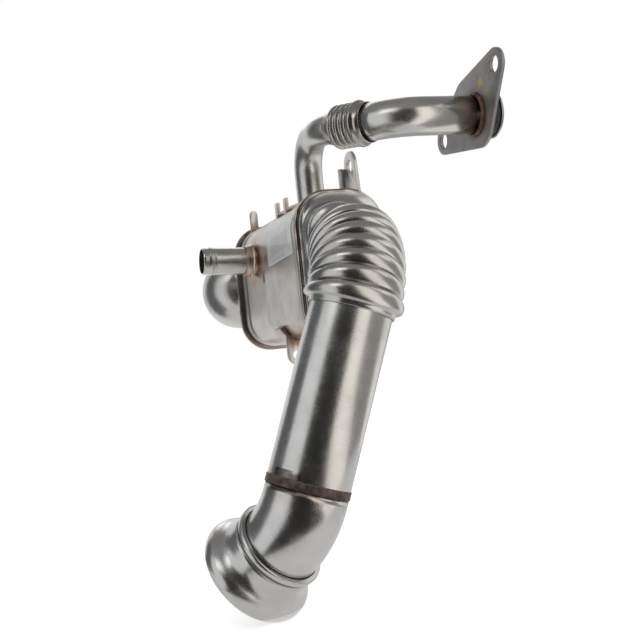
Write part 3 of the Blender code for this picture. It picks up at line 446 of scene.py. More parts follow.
def makeBellows():
    b = bellows
    pitch = b["length"] / b["ridges"]
    profile = [(b["root"], -b["cuff"]), (b["root"], -b["cuff"] / 2)]
    profile += ridgeLine(b["root"], b["crest"], pitch, b["ridges"] - 1, b["perRidge"], 0)
    start = pitch * (b["ridges"] - 1)                     # the last ridge is a wide flat ring
    profile += [(b["root"] + (b["lastCrest"] - b["root"]) * lift, start + pitch * share)
                for share, lift in b["lastRidge"]]
    foot = gasLine["pipeRadius"] + slip + b["wall"]
    profile += [(foot + 0.5, b["length"] + 0.3), (foot, b["length"] + 1),
                (foot, b["length"] + b["foot"])]
    work = spun(profile, b["segments"], closed=False)
    for vertex in work.verts:        # the front is eased, so the wide ring stays in the CAD box
        vertex.co = alongBend(vertex.co)
        past = max(0, b["easeFrom"] - vertex.co.y)
        vertex.co.y += past ** 2 * b["ease"]
    finish = steel("bellowsSteel", tone=(0.52, 0.508, 0.49), rough=0.26, centre=gasLine["pipeTop"],
                   way=pipeWay, grain=0.35, dirt=0.1)
    dressed("gasBellows", work, close(finish), "gas_bellows", b["wall"], 60)


makeBellows()

# The weld's start is a short square patch, painted on the pipe and the elbow.
weld = {"width": 5, "height": 0.4, "tone": (0.095, 0.072, 0.06), "proud": 0.05, "edge": 0.35,
        "pipePatch": (-68.5, -141.5, -71.0), "elbowPatch": (-71, -140.5, -77)}


def makeDownPipe():
    g = gasLine
    start = pipeTop - pipeWay * bellows["foot"] * mm
    length = g["pipeLength"] + bellows["foot"]
    outer, inner = g["pipeRadius"], g["pipeRadius"] - g["wall"]
    work = spun([(outer, length, 0.3), (outer, 0, 0.4), (inner, 0, 0.4), (inner, length, 0.3)],
                128, aimed(start, pipeWay))
    end = pipeTop / mm + pipeWay * g["pipeLength"]
    finish = steel("pipeSteel", rough=0.25, centre=end, way=pipeWay, grain=0.8)
    cloud = finish.cloud(140, 4)
    heat = finish.along().fade(-0.012, -0.002)
    finish.tint(heat * cloud.fade(0.35, 0.65) * 0.45, (0.34, 0.27, 0.2))
    patch = finish.away(weld["pipePatch"]).fade(0.0098, 0.0082) * finish.along().fade(-0.0098, -0.0090)
    finish.tint(patch * cloud.fade(0.2, 0.5) * 0.9, weld["tone"])
    dressed("downPipe", work, close(finish), "down_pipe")


makeDownPipe()

bendTurn = pipeWay.angle(bellWay)
seam = pipeTop + pipeWay * (gasLine["pipeLength"] + 0.3) * mm
elbowReach = gasLine["elbowRadius"] * math.tan(bendTurn / 2)
elbowCorner = seam + pipeWay * (gasLine["elbowLead"] + elbowReach) * mm
elbowTail = elbowCorner + bellWay * (elbowReach + gasLine["elbowTail"]) * mm


def makeElbow():
    path = route([(seam, 0), (elbowCorner, gasLine["elbowRadius"] * mm), (elbowTail, 0)], 2)
    work = sweep(stationsAlong(path), gasLine["pipeRadius"] * mm, 128)
    finish = steel("elbowSteel", rough=0.25, centre=seam / mm, way=pipeWay, lines="long")
    heat = finish.along().fade(0.012, 0.0)
    finish.tint(heat * finish.cloud(120, 4).fade(0.35, 0.6) * 0.5, (0.33, 0.26, 0.2))
    patch = finish.away(weld["elbowPatch"]).fade(0.0110, 0.0085) * finish.along().fade(0.0030, 0.0022)
    finish.tint(patch * 0.9, weld["tone"])
    dressed("outletElbow", work, close(finish), "outlet_elbow", gasLine["wall"])


makeElbow()

bell = {"socket": 8, "length": 29.5, "rim": 34, "wall": 1.5, "collar": 1.6}


def makeBell():
    b = bell
    inner = gasLine["pipeRadius"] + slip
    neck, rim, long = inner + b["wall"], b["rim"], b["length"]
    profile = [(inner, -0.9, 0.3), (neck + 0.7, -0.9, 0.4), (neck + b["collar"], 0.1, 0.7),
               (neck + b["collar"] * 0.85, 2.4, 0.8), (neck + 0.1, 3.4, 0.5), (neck, 4.6, 0.3),
               (neck + 0.9, 5.4, 0.6), (neck + 1.3, long * 0.44, 2.5),
               (neck + 3.6, long * 0.55, 2.0), (rim - 2.2, long * 0.62, 1.6),
               (rim - 0.2, long * 0.72, 2.4), (rim, long * 0.86, 2.4),
               (rim - 1.8, long * 0.97, 1.6), (rim - 4.4, long, 0.8),
               (rim - 5.0, long - 1.2, 0.5), (rim - 3.4, long * 0.9, 1.2),
               (rim - 2.6, long * 0.78, 1.6), (rim - 4.6, long * 0.67, 1.6),
               (neck + 0.6, long * 0.56, 1.6), (inner, long * 0.4, 2.0)]
    work = spun(profile, 144, aimed(elbowTail - bellWay * b["socket"] * mm, bellWay))
    finish = steel("bellSteel", rough=0.27, centre=elbowTail / mm, way=bellWay, grain=0.9, dirt=0.15)
    depth = finish.along()
    seamShade = (depth - (3.9 - b["socket"]) * mm).size().fade(0.0011, 0.0003)
    finish.tint(seamShade * 0.85, (0.06, 0.05, 0.045))
    rimShade = depth.fade((long - b["socket"] - 2) * mm, (long - b["socket"]) * mm)
    finish.tint(rimShade * finish.cloud(160, 4).fade(0.35, 0.65) * 0.3, (0.2, 0.17, 0.15))
    dressed("bellMouth", work, close(finish), "bell_mouth", sharp=50)


makeBell()


def weldMaterial(name, tone=weld["tone"]):
    finish = Finish(name)
    cloud = finish.cloud(260, 5, rough=0.65)
    fine = finish.cloud(1400, 3)
    finish.colour = finish.blend(cloud.fade(0.3, 0.7), scaled(tone, 0.6), scaled(tone, 1.9))
    finish.tint(finish.cloud(90, 3).fade(0.55, 0.7) * 0.4, (0.2, 0.15, 0.12))
    finish.feed("Base Color", finish.colour)
    finish.feed("Metallic", 0.75)
    finish.feed("Roughness", fine * 0.25 + 0.42)
    finish.bump(cloud * 0.6 + fine * 0.4, 0.5, 0.0004)
    return finish.material


def makeSeamWeld():
    radius, half = gasLine["pipeRadius"] + weld["proud"], weld["width"] / 2
    middle = pipeTop + pipeWay * (gasLine["pipeLength"] - half) * mm
    top, edge = radius + weld["height"], radius + weld["edge"]
    work = spun([(radius, half), (edge, half - 0.3), (top, half * 0.5),
                 (radius + weld["height"] * 0.9, 0), (top, -half * 0.5), (edge, -half + 0.3),
                 (radius, -half)], 240, aimed(middle, pipeWay))
    for vertex in work.verts:        # an uneven, rippled bead
        out = vertex.co - middle
        flat = out - pipeWay * out.dot(pipeWay)
        if flat.length > (radius + 0.1) * mm:
            wave = noise.noise(vertex.co * 420) * 0.22 + noise.noise(vertex.co * 1500) * 0.1
            vertex.co += flat.normalized() * wave * 0.5 * mm + pipeWay * wave * 1.3 * mm
    dressed("seamWeld", work, weldMaterial("seamWeldSteel"), "seam_weld", sharp=60)


makeSeamWeld()
print("big gas line made")


# Core housing.
core = {"width": 54, "length": 150, "height": 90, "radius": 20, "wall": 1.5, "rows": 110,
        "panel": {"low": (-64, 7), "high": (62, 84), "corner": 8, "depth": 0.9, "slope": 2.5,
                  "outward": 4},
        "rib": {"low": (12, 43), "high": (24, 59), "corner": 3, "slope": 1.6, "height": 0.9},
        "ribTop": {"low": (15, 45.5), "high": (21, 56.5), "corner": 2, "slope": 1.4, "depth": 0.6},
        "groove": {"half": 4.5, "corner": 4.4, "slope": 2.2, "depth": 0.7},
        "inlet": (34, 62.5), "outlet": (20, 30), "rise": math.radians(3)}
spigot = {"radius": 9.7, "length": 38, "wall": 1.2, "bead": 0.45, "foot": 12.4, "footHeight": 6}


def roundedDistance(u, v, low, high, corner):            # below 0 inside the rounded rectangle
    middle = ((low[0] + high[0]) / 2, (low[1] + high[1]) / 2)
    half = ((high[0] - low[0]) / 2 - corner, (high[1] - low[1]) / 2 - corner)
    du, dv = abs(u - middle[0]) - half[0], abs(v - middle[1]) - half[1]
    return math.hypot(max(du, 0), max(dv, 0)) + min(max(du, dv), 0) - corner


def pressing(u, v, form, low=None, high=None):           # 0 outside its edge, 1 inside its slope
    gap = roundedDistance(u, v, low or form["low"], high or form["high"], form["corner"])
    return smoothShare(min(max(-gap / form["slope"], 0), 1))


def spigotPlace(side, place):
    rise = core["rise"] if side < 0 else 0
    way = (side * math.cos(rise), 0, math.sin(rise))
    return aimed(at(side * core["width"] / 2, *place), way, (0, 1, 0))


def drum(radius, matrix, segments=64, half=6):           # a closed cylinder used to cut holes
    work = bmesh.new()
    bmesh.ops.create_cone(work, cap_ends=True, segments=segments, radius1=radius * mm,
                          radius2=radius * mm, depth=half * 2 * mm)
    bmesh.ops.transform(work, matrix=matrix, verts=work.verts)
    return work


def cut(thing, works, operation="DIFFERENCE"):
    helpers = [objectOf("cutter", work) for work in works]
    for index, tool in enumerate(helpers):
        step = thing.modifiers.new("cut" + str(index), "BOOLEAN")
        step.operation, step.solver, step.object = operation, "EXACT", tool
    bpy.context.view_layer.update()
    applied(thing)
    for tool in helpers:
        bpy.data.objects.remove(tool, do_unlink=True)


def pressedIn(x, y, z):              # how far the sheet is pressed in at a point of its outside
    c, panel = core, core["panel"]
    half, radius, middle = c["width"] / 2, c["radius"], c["height"] / 2
    lift = z - middle
    height = z
    if abs(lift) > middle - radius:  # round a corner the height is measured along the sheet
        over = math.atan2(abs(lift) - (middle - radius), max(abs(x) - (half - radius), 1e-6))
        height = middle + math.copysign(middle - radius + radius * min(over, 1.2), lift)
    depth = 0
    if abs(x) > half - radius * 0.75:
        low, high = panel["low"], panel["high"]
        depth += panel["depth"] * pressing(y, height, panel, (low[0], low[1] - panel["outward"]),
                                           (high[0], high[1] + panel["outward"]))
        if x < 0:                    # the small upright rib behind the spigot
            depth -= c["rib"]["height"] * pressing(y, height, c["rib"])
            depth += c["ribTop"]["depth"] * pressing(y, height, c["ribTop"])
    elif abs(lift) > middle - 2:
        wide = c["groove"]["half"]
        depth += c["groove"]["depth"] * pressing(y, x, c["groove"], (panel["low"][0], -wide),
                                                 (panel["high"][0], wide))
    return depth


def makeHousing():
    c = core
    half, radius, middle, panel = c["width"] / 2, c["radius"], c["height"] / 2, c["panel"]
    loop = roundedLoop(c["width"], c["height"], radius, 15, 26)
    rings = []
    for row in range(c["rows"] + 1):
        y = -c["length"] / 2 + c["length"] * row / c["rows"]
        ring = []
        for point in loop:
            x, z = point.x, point.y + middle
            inner = Vector((max(min(x, half - radius), radius - half),
                            max(min(z, c["height"] - radius), radius)))
            way = (Vector((x, z)) - inner).normalized()
            depth = pressedIn(x, y, z)
            ring.append(at(x - way.x * depth, y, z - way.y * depth))
        rings.append(ring)
    work = turnedOut(skinThrough(rings))
    finish = steel("housingSteel", tone=(0.58, 0.553, 0.522), rough=0.36, lines="long",
                   way=(0, 1, 0), grain=1.2, dirt=0.1)
    y, z, x = finish.axis("Y"), finish.axis("Z"), finish.axis("X")
    cloud = finish.cloud(75, 5, rough=0.6)
    rim = y.fade(0.060, 0.0735).most(y.fade(-0.066, -0.0742))
    finish.tint(rim * cloud.fade(0.25, 0.6) * 0.75, (0.34, 0.22, 0.15))
    # painted shade: a dark band at both ends of the housing, next to the tube plates
    edge = y.fade(0.0655, 0.0705).most(y.fade(-0.0715, -0.0745))
    finish.tint(edge * 0.8, (0.12, 0.095, 0.08))

    def stain(place, low, high, share):          # copper, where the cloud lets it through
        finish.tint(place * cloud.fade(low, high) * share, copperTone)

    stain(finish.away((-27, 34, 62.5)).fade(0.024, 0.012), 0.3, 0.62, 0.55)
    stain(finish.away((-27, 19, 57)).fade(0.011, 0.004), 0.4, 0.6, 0.6)
    stain(z.fade(0.0125, 0.006) * y.fade(-0.068, -0.056) * y.fade(-0.012, -0.022), 0.34, 0.58, 0.85)
    # painted shade: a dark line along the pressed step of the left side panel
    across = (y - (panel["high"][0] + panel["low"][0]) / 2 * mm).size() \
        - ((panel["high"][0] - panel["low"][0]) / 2 - 8) * mm
    upward = (z - middle * mm).size() - 0.034
    corner = across.most(0) ** 2 + upward.most(0) ** 2
    step = (corner ** 0.5 + across.most(upward).least(0) - 0.008).size().fade(0.0026, 0.0007)
    finish.tint(step * x.fade(-0.010, -0.018) * (cloud * 0.4 + 0.35), (0.13, 0.105, 0.09))
    stain(finish.away((27, 20, 30)).fade(0.022, 0.012), 0.32, 0.62, 0.8)
    stain(z.fade(0.0885, 0.0905) * finish.away((5, -21, 90)).fade(0.045, 0.02), 0.42, 0.66, 0.4)
    stain(z.fade(0.004, 0.0) * finish.away((-7, 16, 0)).fade(0.022, 0.009), 0.35, 0.6, 0.8)
    material = close(finish, cloud.fade(0.3, 0.7) * 0.06)
    thing = dressed("coreHousing", work, material, "housing", c["wall"], 50)
    hole = spigot["radius"] + slip
    cut(thing, [drum(hole, spigotPlace(-1, c["inlet"])), drum(hole, spigotPlace(1, c["outlet"]))])


makeHousing()


def makePlates():
    for side in ("front", "rear"):
        finish = steel(side + "RimSteel", tone=(0.27, 0.248, 0.235), rough=0.34, lines="long",
                       way=(1, 0, 0), dirt=0.3)
        finish.tint(finish.cloud(150, 4).fade(0.42, 0.68) * 0.45, (0.24, 0.155, 0.105))
        node = side + "_tube_plate"
        dressed(side + "Rim", softened(node, 0.35), close(finish), node, sharp=35)


makePlates()


def makeSpigots():
    for side, name in ((-1, "inlet"), (1, "outlet")):
        matrix = spigotPlace(side, core[name])
        centre, way = matrix.translation / mm, matrix.to_3x3().col[2]
        r, end, bead = spigot["radius"], spigot["length"], spigot["bead"]
        bore = r - spigot["wall"]
        work = spun([(bore, -1.5), (r, -1.5), (r, end - 9.4, 0.3), (r + 0.2, end - 9.0, 0.15),
                     (r + 0.2, end - 8.6, 0.15), (r, end - 8.2, 0.2), (r, end - 7.4, 0.3),
                     (r + bead, end - 6.6, 0.4), (r + bead, end - 5.4, 0.4), (r, end - 4.4, 0.6),
                     (r - 0.15, end - 1.0, 0.4), (r - 0.6, end, 0.3), (bore, end, 0.25)], 96, matrix)
        finish = steel(name + "SpigotSteel", tone=(0.55, 0.535, 0.51), rough=0.29, centre=centre,
                       way=way, grain=0.5)
        finish.tint(finish.along().fade(0.014, 0.006) * finish.cloud(200, 3).fade(0.35, 0.6) * 0.5,
                    copperTone)
        # painted shade inside the bore of the spigot
        inside = finish.aside(finish.local, (1, 1, 0)).fade((r - 0.9) * mm, (r - 1.1) * mm)
        finish.tint(inside * 0.75, (0.07, 0.06, 0.055))
        node = "coolant_" + name + "_spigot"
        dressed(name + "Spigot", work, close(finish), node, sharp=50)
        inner, foot = r + slip, spigot["foot"]
        lift = 0.3 + foot * math.tan(core["rise"] if side < 0 else 0)
        top = lift + spigot["footHeight"]
        work = spun([(inner, lift), (foot, lift, 0.5), (12.3, lift + 1.0, 0.5),
                     (11.3, lift + 1.7, 0.6), (11.2, lift + 3.6, 0.5), (10.9, lift + 4.4, 0.5),
                     (10.8, top, 0.4), (inner, top, 0.2)], 96, matrix)
        finish = steel(name + "BrazeSteel", tone=(0.55, 0.5, 0.45), rough=0.3, centre=centre,
                       way=way, dirt=0.2)
        cloud = finish.cloud(230, 4, rough=0.6)
        finish.tint(cloud.fade(0.36, 0.62) * 0.7, copperTone)
        line = (finish.along() - (lift + 2.4) * mm).size().fade(0.0009, 0.0002)
        finish.tint(line * 0.5, (0.28, 0.15, 0.1))
        node = "coolant_" + name + "_ferrule"
        dressed(name + "Braze", work, close(finish, cloud * 0.1), node, sharp=50)


makeSpigots()
print("core made")


# Hoods.
hood = {"wall": 1.5, "skirt": 5, "pull": 5, "take": 8, "outlet": 23.7, "corner": 14, "side": 6,
        "rows": 30, "bulge": 5.5, "bulgeAt": 128, "bulgeWide": 62, "flange": 2.5,
        "edge": ((1.45, 2.2), (1.6, 1.4), (1.7, 0.7), (2.0, 0.25), (2.6, 0))}    # height, how wide
rimFace = core["length"] / 2 + 0.3 + 2 + 0.3
rimSize = (core["width"] + 2 * hood["flange"], core["height"] + 2 * hood["flange"],
           core["radius"] + hood["flange"])
hoodSize = (core["width"] - 1, core["height"] - 1, core["radius"])


def grownLoop(size, grow, corner, side):     # a rounded loop, wider all round by grow
    return roundedLoop(size[0] + 2 * grow, size[1] + 2 * grow, size[2] + grow, corner, side)


def hoodSteel(name, tone, rough, start, end):            # darker next to the brazed rim
    finish = steel(name, tone=tone, rough=rough, lines=None, grain=0.35)
    finish.tint(finish.axis("Y").fade(start, end) * finish.cloud(110, 4).fade(0.3, 0.6) * 0.7,
                (0.22, 0.15, 0.11))
    return finish


def makeFrontHood():
    h = hood
    points = h["corner"], h["side"]
    base = aimed(at(0, -rimFace, core["height"] / 2), (0, -1, 0))
    port = circleLoop(h["outlet"], *points)
    mouth = roundedLoop(*hoodSize, *points)
    collar = outletPlace - outletWay * (bellows["cuff"] + h["wall"]) * mm
    start = base @ at(0, 0, h["wall"] + h["skirt"])
    pullStart = start + at(0, -h["pull"], 0)
    pullEnd = collar - outletWay * h["take"] * mm
    turnStart = base.to_quaternion()
    turnEnd = aimed(collar, outletWay).to_quaternion()

    def ring(matrix, loop, height=0):
        return [matrix @ at(p.x, p.y, height) for p in loop]

    def cornered(spot, share):       # the pressing keeps its upper left corner beside the port
        off = abs(math.degrees(math.atan2(spot.y, spot.x)) - h["bulgeAt"]) / h["bulgeWide"]
        rise = smoothShare(min(share / 0.3, 1)) * (1 - smoothShare(max(share - 0.66, 0) / 0.34))
        return spot * (1 + h["bulge"] * rise * smoothShare(max(1 - off, 0)) / spot.length)

    rings = [ring(base, roundedLoop(*rimSize, *points), height) for height in (0.1, 0.9)]
    rings += [ring(base, grownLoop(hoodSize, grow, *points), height) for height, grow in h["edge"]]
    for index in range(h["rows"] + 1):
        share = index / h["rows"]
        place = (start * (1 - share) ** 3 + pullStart * 3 * share * (1 - share) ** 2
                 + pullEnd * 3 * share ** 2 * (1 - share) + collar * share ** 3)
        turn = turnStart.slerp(turnEnd, smoothShare(share))
        matrix = Matrix.Translation(place) @ turn.to_matrix().to_4x4()
        blendShare = 1 - (1 - share) ** 3
        rings.append(ring(matrix, [cornered(a.lerp(b, blendShare), share)
                                   for a, b in zip(mouth, port)]))
    rings.append(ring(aimed(outletPlace - outletWay * 0.3 * mm, outletWay), port))
    finish = hoodSteel("hoodSteel", (0.54, 0.53, 0.515), 0.24, -0.0815, -0.079)
    dressed("frontHood", turnedOut(skinThrough(rings)), close(finish), "front_hood", h["wall"], 60)


makeFrontHood()

rear = {"depth": 13, "round": 5.5, "domeRadius": 29.5, "domePlace": (-20, 46.5), "domeFrom": 82,
        "domeTo": 138, "voxel": 1.0, "rim": 1.3}


def makeRearHood():
    def ring(y, size, grow=0, corner=10, side=5):
        return [at(p.x, y, p.y + core["height"] / 2) for p in grownLoop(size, grow, corner, side)]

    end, curve = rimFace + rear["depth"], rear["round"]
    rings = [ring(rimFace - 0.1, hoodSize, -4), ring(rimFace + 0.1, hoodSize),
             ring(end - curve - 1, hoodSize)]
    for degrees in range(15, 91, 15):
        angle = math.radians(degrees)
        rings.append(ring(end - curve * (1 - math.sin(angle)), hoodSize,
                          -curve * (1 - math.cos(angle))))
    work = closedSkin(rings)
    merged(work)
    turnedOut(work)
    low, high = rear["domeFrom"], rear["domeTo"]
    half = (high - low) / 2
    angles = [math.pi * step / 20 for step in range(1, 20)]
    profile = [(0, half), *((rear["domeRadius"] * math.sin(angle) ** 0.8, half * math.cos(angle))
                            for angle in angles), (0, -half)]
    spot = at(rear["domePlace"][0], (low + high) / 2, rear["domePlace"][1])
    dome = spun(profile, 96, aimed(spot, (0, 1, 0)), closed=False)
    finish = hoodSteel("rearHoodSteel", (0.55, 0.535, 0.515), 0.3, 0.082, 0.0785)
    shade = finish.axis("Y").fade(0.092, 0.080) * finish.axis("Z").fade(0.062, 0.078)
    finish.tint(shade * 0.85, (0.1, 0.085, 0.08))
    material = close(finish)
    thing = dressed("rearHood", work, material, "rear_hood", sharp=180)
    cut(thing, [dome], "UNION")
    grid = thing.modifiers.new("grid", "REMESH")          # one even skin, so the joins can be eased
    grid.mode, grid.voxel_size, grid.use_smooth_shade = "VOXEL", rear["voxel"] * mm, True
    ease = thing.modifiers.new("ease", "SMOOTH")
    ease.factor, ease.iterations = 0.5, 14
    applied(thing)
    rim = closedSkin([ring(y, rimSize, 0, 14, 6) for y in (rimFace, rimFace + rear["rim"])])
    dressed("rearHoodRim", eased(rim, 0.4, 3), material, "rear_hood")


makeRearHood()
print("hoods made")


# Small gas pipe.
gasPipe = {"rearRadius": 11.25, "frontRadius": 14, "wall": 1.2, "riser": (42.5, 94),
           "riserTurn": 24, "riserTop": 161, "flexStart": (46.6, 42.1, 159.1),
           "flexWay": (0.52, -0.85, -0.084), "ridges": 4, "pitch": 5, "crest": 16.6, "root": 13.2,
           "flexWall": 0.7, "rearCuff": 5, "frontCuff": 10, "port": (-11.9, 153.8),
           "face": 142, "plate": 3, "hole": 12.6, "noseLength": 13, "noseRadius": 17.5}
flexWay = Vector(gasPipe["flexWay"]).normalized()
flexStart = at(*gasPipe["flexStart"])
portPlace = at(0, *gasPipe["port"])
outletX = (1, 0, 0)                  # the way out through the flange


def makeRiser():
    p = gasPipe
    level = rear["domePlace"][1]
    start = at(rear["domePlace"][0] + rear["domeRadius"] - 3, p["riser"][1], level)
    path = route([(start, 0), (at(*p["riser"], level), p["riserTurn"] * mm),
                  (at(*p["riser"], p["riserTop"]), 27 * mm), (flexStart - flexWay * 10 * mm, 29 * mm),
                  (flexStart + flexWay * p["rearCuff"] * mm, 0)], 3)
    work = sweep(stationsAlong(path), p["rearRadius"] * mm, 80)
    finish = steel("riserSteel", tone=(0.52, 0.505, 0.485), rough=0.3, centre=(42.5, 94, 100),
                   lines="long", grain=0.6)
    joint = finish.away((5, 94, 46.5)).fade(0.03, 0.012)
    finish.tint(joint * finish.cloud(150, 4).fade(0.35, 0.6) * 0.8, (0.3, 0.2, 0.14))
    dressed("riserPipe", work, close(finish), "riser_pipe", p["wall"])


makeRiser()


def makeFlex():
    p = gasPipe
    root, crest = p["root"], p["crest"]
    back, front = (p[side] + slip + p["flexWall"] for side in ("rearRadius", "frontRadius"))
    start = p["rearCuff"] + 1.5
    end = start + p["ridges"] * p["pitch"]
    profile = [(back, 0), (back, p["rearCuff"] - 0.6), (back + 0.4, p["rearCuff"] + 0.4),
               *ridgeLine(root, crest, p["pitch"], p["ridges"], 12, start),
               (root + 0.3, end), (crest - 0.9, end + 0.5), (crest + 0.3, end + 1.1),
               (crest + 0.7, end + 1.9), (crest + 0.6, end + 2.8), (crest, end + 3.5),
               (front + 0.5, end + 4.6), (front, end + 5.6), (front, end + p["frontCuff"])]
    work = spun(profile, 96, aimed(flexStart, flexWay), closed=False)
    finish = steel("flexSteel", tone=(0.44, 0.42, 0.4), rough=0.25, centre=p["flexStart"],
                   way=flexWay, grain=0.4, dirt=0.25)
    finish.tint(finish.along().fade((end + 4.5) * mm, (end + 9) * mm) * 0.3, (0.3, 0.25, 0.2))
    dressed("pipeBellows", work, close(finish), "pipe_bellows", p["flexWall"], 60)
    return flexStart + flexWay * (end + 5.2) * mm


flangePipeStart = makeFlex()


def makeFlangePipe(start):
    p = gasPipe
    corner = start + flexWay * ((portPlace.y - start.y) / flexWay.y)
    corner.z = portPlace.z
    nose = portPlace + at(p["face"] + p["noseLength"], 0, 0)
    work = sweep(stationsAlong(route([(start, 0), (corner, 32 * mm), (nose, 0)], 3)),
                 p["frontRadius"] * mm, 96)
    finish = steel("flangePipeSteel", rough=0.25, centre=(100, *p["port"]), way=outletX,
                   lines="long", grain=0.55)
    x = finish.axis("X")
    gold = x.fade(0.116, 0.126) * 0.4 * finish.cloud(150, 4).fade(0.35, 0.6)
    finish.tint(gold, (0.55, 0.42, 0.22))
    finish.tint(x.fade(0.1345, 0.1375) * 0.85, (0.1, 0.065, 0.06))
    dressed("flangePipe", work, close(finish), "flange_pipe", p["wall"])


makeFlangePipe(flangePipeStart)

flange = {"lobes": ((41.5, 147, 10.8), (2, 168, 15), (-47.3, 181, 11.35), (-16, 148.5, 20)),
          "holes": (0, 2), "ease": 0.45, "weld": (0.11, 0.065, 0.055)}


def alongPort(x, way=outletX):       # on the port's axis, x from the origin in mm
    return aimed(portPlace + at(x, 0, 0), way)


def makeFlangePlate():
    p = gasPipe
    work = bmesh.new()
    for y, z, radius in flange["lobes"]:
        for x in (p["face"] - p["plate"], p["face"]):
            bmesh.ops.create_circle(work, segments=72, radius=radius * mm,
                                    matrix=aimed(at(x, y, z), outletX, (0, 1, 0)))
    bmesh.ops.convex_hull(work, input=work.verts[:])
    loose = [v for v in work.verts if not v.link_faces]
    bmesh.ops.delete(work, geom=loose, context="VERTS")
    spare = [e for e in work.edges if not e.link_faces]
    bmesh.ops.delete(work, geom=spare, context="EDGES")
    bmesh.ops.dissolve_limit(work, angle_limit=math.radians(1), verts=work.verts, edges=work.edges)
    eased(turnedOut(work), flange["ease"], 4)
    finish = Finish("flangeSteel")
    cloud = finish.cloud(60, 5, rough=0.65)
    fine = finish.cloud(1800, 3)
    finish.colour = finish.blend(cloud.fade(0.3, 0.7), (0.235, 0.222, 0.215), (0.31, 0.295, 0.288))
    x = finish.axis("X")
    ring = finish.aside(finish.vectors("SUBTRACT", finish.spot, portPlace), (0, 1, 1))
    finish.tint(ring.fade(0.0215, 0.0165) * cloud.fade(0.3, 0.6) * 0.75, (0.16, 0.1, 0.08))
    finish.tint(x.fade(0.1398, 0.1404) * x.fade(0.1414, 0.1408) * 0.6, (0.5, 0.49, 0.48))
    blot = finish.cloud(420, 3).fade(0.38, 0.5)
    dab = finish.away((139, -26, 174.3)).fade(0.0042, 0.0028) * blot
    finish.tint(dab * 0.8, (0.5, 0.36, 0.05))
    faint = finish.away((139, -32.7, 164.2)).fade(0.0036, 0.0022) * blot
    finish.tint(faint * 0.4, (0.42, 0.34, 0.12))
    finish.feed("Base Color", finish.colour)
    finish.feed("Metallic", dab * -0.7 + 0.85)
    finish.feed("Roughness", fine * 0.16 + 0.4)
    finish.bump(fine * 0.6 + cloud * 0.4, 0.25, 0.0003)
    thing = dressed("pipeFlange", work, finish.material, "pipe_flange", sharp=30)
    middle = p["face"] - p["plate"] / 2
    drums = [drum(p["frontRadius"] + slip, alongPort(middle), 96)]
    for index in flange["holes"]:
        y, z = flange["lobes"][index][:2]
        drums.append(drum(p["hole"] / 2, aimed(at(middle, y, z), outletX)))
    cut(thing, drums)
    thing.data.set_sharp_from_angle(angle=math.radians(30))


def makeNose():
    p = gasPipe
    inner = p["frontRadius"] + slip
    long, out, back = p["noseLength"], p["noseRadius"], p["noseLength"] - 2.8
    work = spun([(inner, long, 0.2), (inner + 1, long, 0.4), (out, long - 0.9, 0.4),
                 (out, long - 2.5, 0.3), (inner, long - 2.5, 0.2)], 96, alongPort(p["face"]))
    finish = steel("noseSteel", tone=(0.42, 0.4, 0.385), rough=0.26, centre=(142, *p["port"]),
                   way=outletX)
    dressed("noseRing", work, close(finish), "nose_ring")
    work = spun([(inner, back, 0.2), (out - 1.2, back, 0.4), (out - 0.8, back - 2.2, 0.6),
                 (out - 1.2, back - 4.5, 0.4), (inner, back - 4.5, 0.2)], 96, alongPort(p["face"]))
    finish = Finish("sealGraphite")
    cloud = finish.cloud(500, 4)
    finish.feed("Base Color", finish.blend(cloud.fade(0.3, 0.7), (0.02, 0.02, 0.021),
                                           (0.06, 0.058, 0.056)))
    finish.feed("Roughness", cloud * 0.3 + 0.45)
    finish.bump(cloud, 0.3, 0.0003)
    dressed("sealRing", work, finish.material, "seal_ring")


def makeFlangeWeld():
    p = gasPipe
    inner = p["frontRadius"] + slip
    work = spun([(inner, 0), (inner + 2.2, 0, 0.4), (inner + 1.3, 1.1, 0.6), (inner + 0.3, 2.1, 0.2),
                 (inner, 2.1)], 120, alongPort(p["face"] - p["plate"] - 0.3, (-1, 0, 0)))
    for vertex in work.verts:        # an uneven bead
        out = vertex.co - portPlace
        out.x = 0
        if out.length > (inner + 0.2) * mm:
            vertex.co += out.normalized() * noise.noise(vertex.co * 700) * 0.25 * mm
    material = weldMaterial("flangeWeldSteel", flange["weld"])
    dressed("flangeWeld", work, material, "flange_weld", sharp=60)


makeFlangePlate()
makeNose()
makeFlangeWeld()
print("small gas pipe made")


# Brackets, label and inner parts.
def makeBrackets():
    for node, name, width, way in (("saddle_bracket", "saddleBracket", 0.5, (0, 1, 0)),
                                   ("top_lug", "topLug", 0.4, (0, 0, 1)),
                                   ("lower_bracket", "lowerBracket", 0.4, (0, 0, 1))):
        finish = steel(name + "Steel", tone=(0.54, 0.525, 0.51), rough=0.3, lines="long", way=way,
                       dirt=0.2)
        brazed = (-0.004, 0.0) if node == "lower_bracket" else (0.0955, 0.0905)
        foot = finish.axis("Z").fade(*brazed)
        finish.tint(foot * 0.45, (0.27, 0.215, 0.18))
        finish.tint(foot * finish.cloud(160, 4).fade(0.42, 0.66) * 0.5, copperTone)
        dressed(name, softened(node, width, 3, 40), close(finish), node, sharp=35)


makeBrackets()

label = {"low": (-60, 55), "high": (-1, 80.5), "tilt": 0.045, "thick": 0.12, "proud": 0.06}


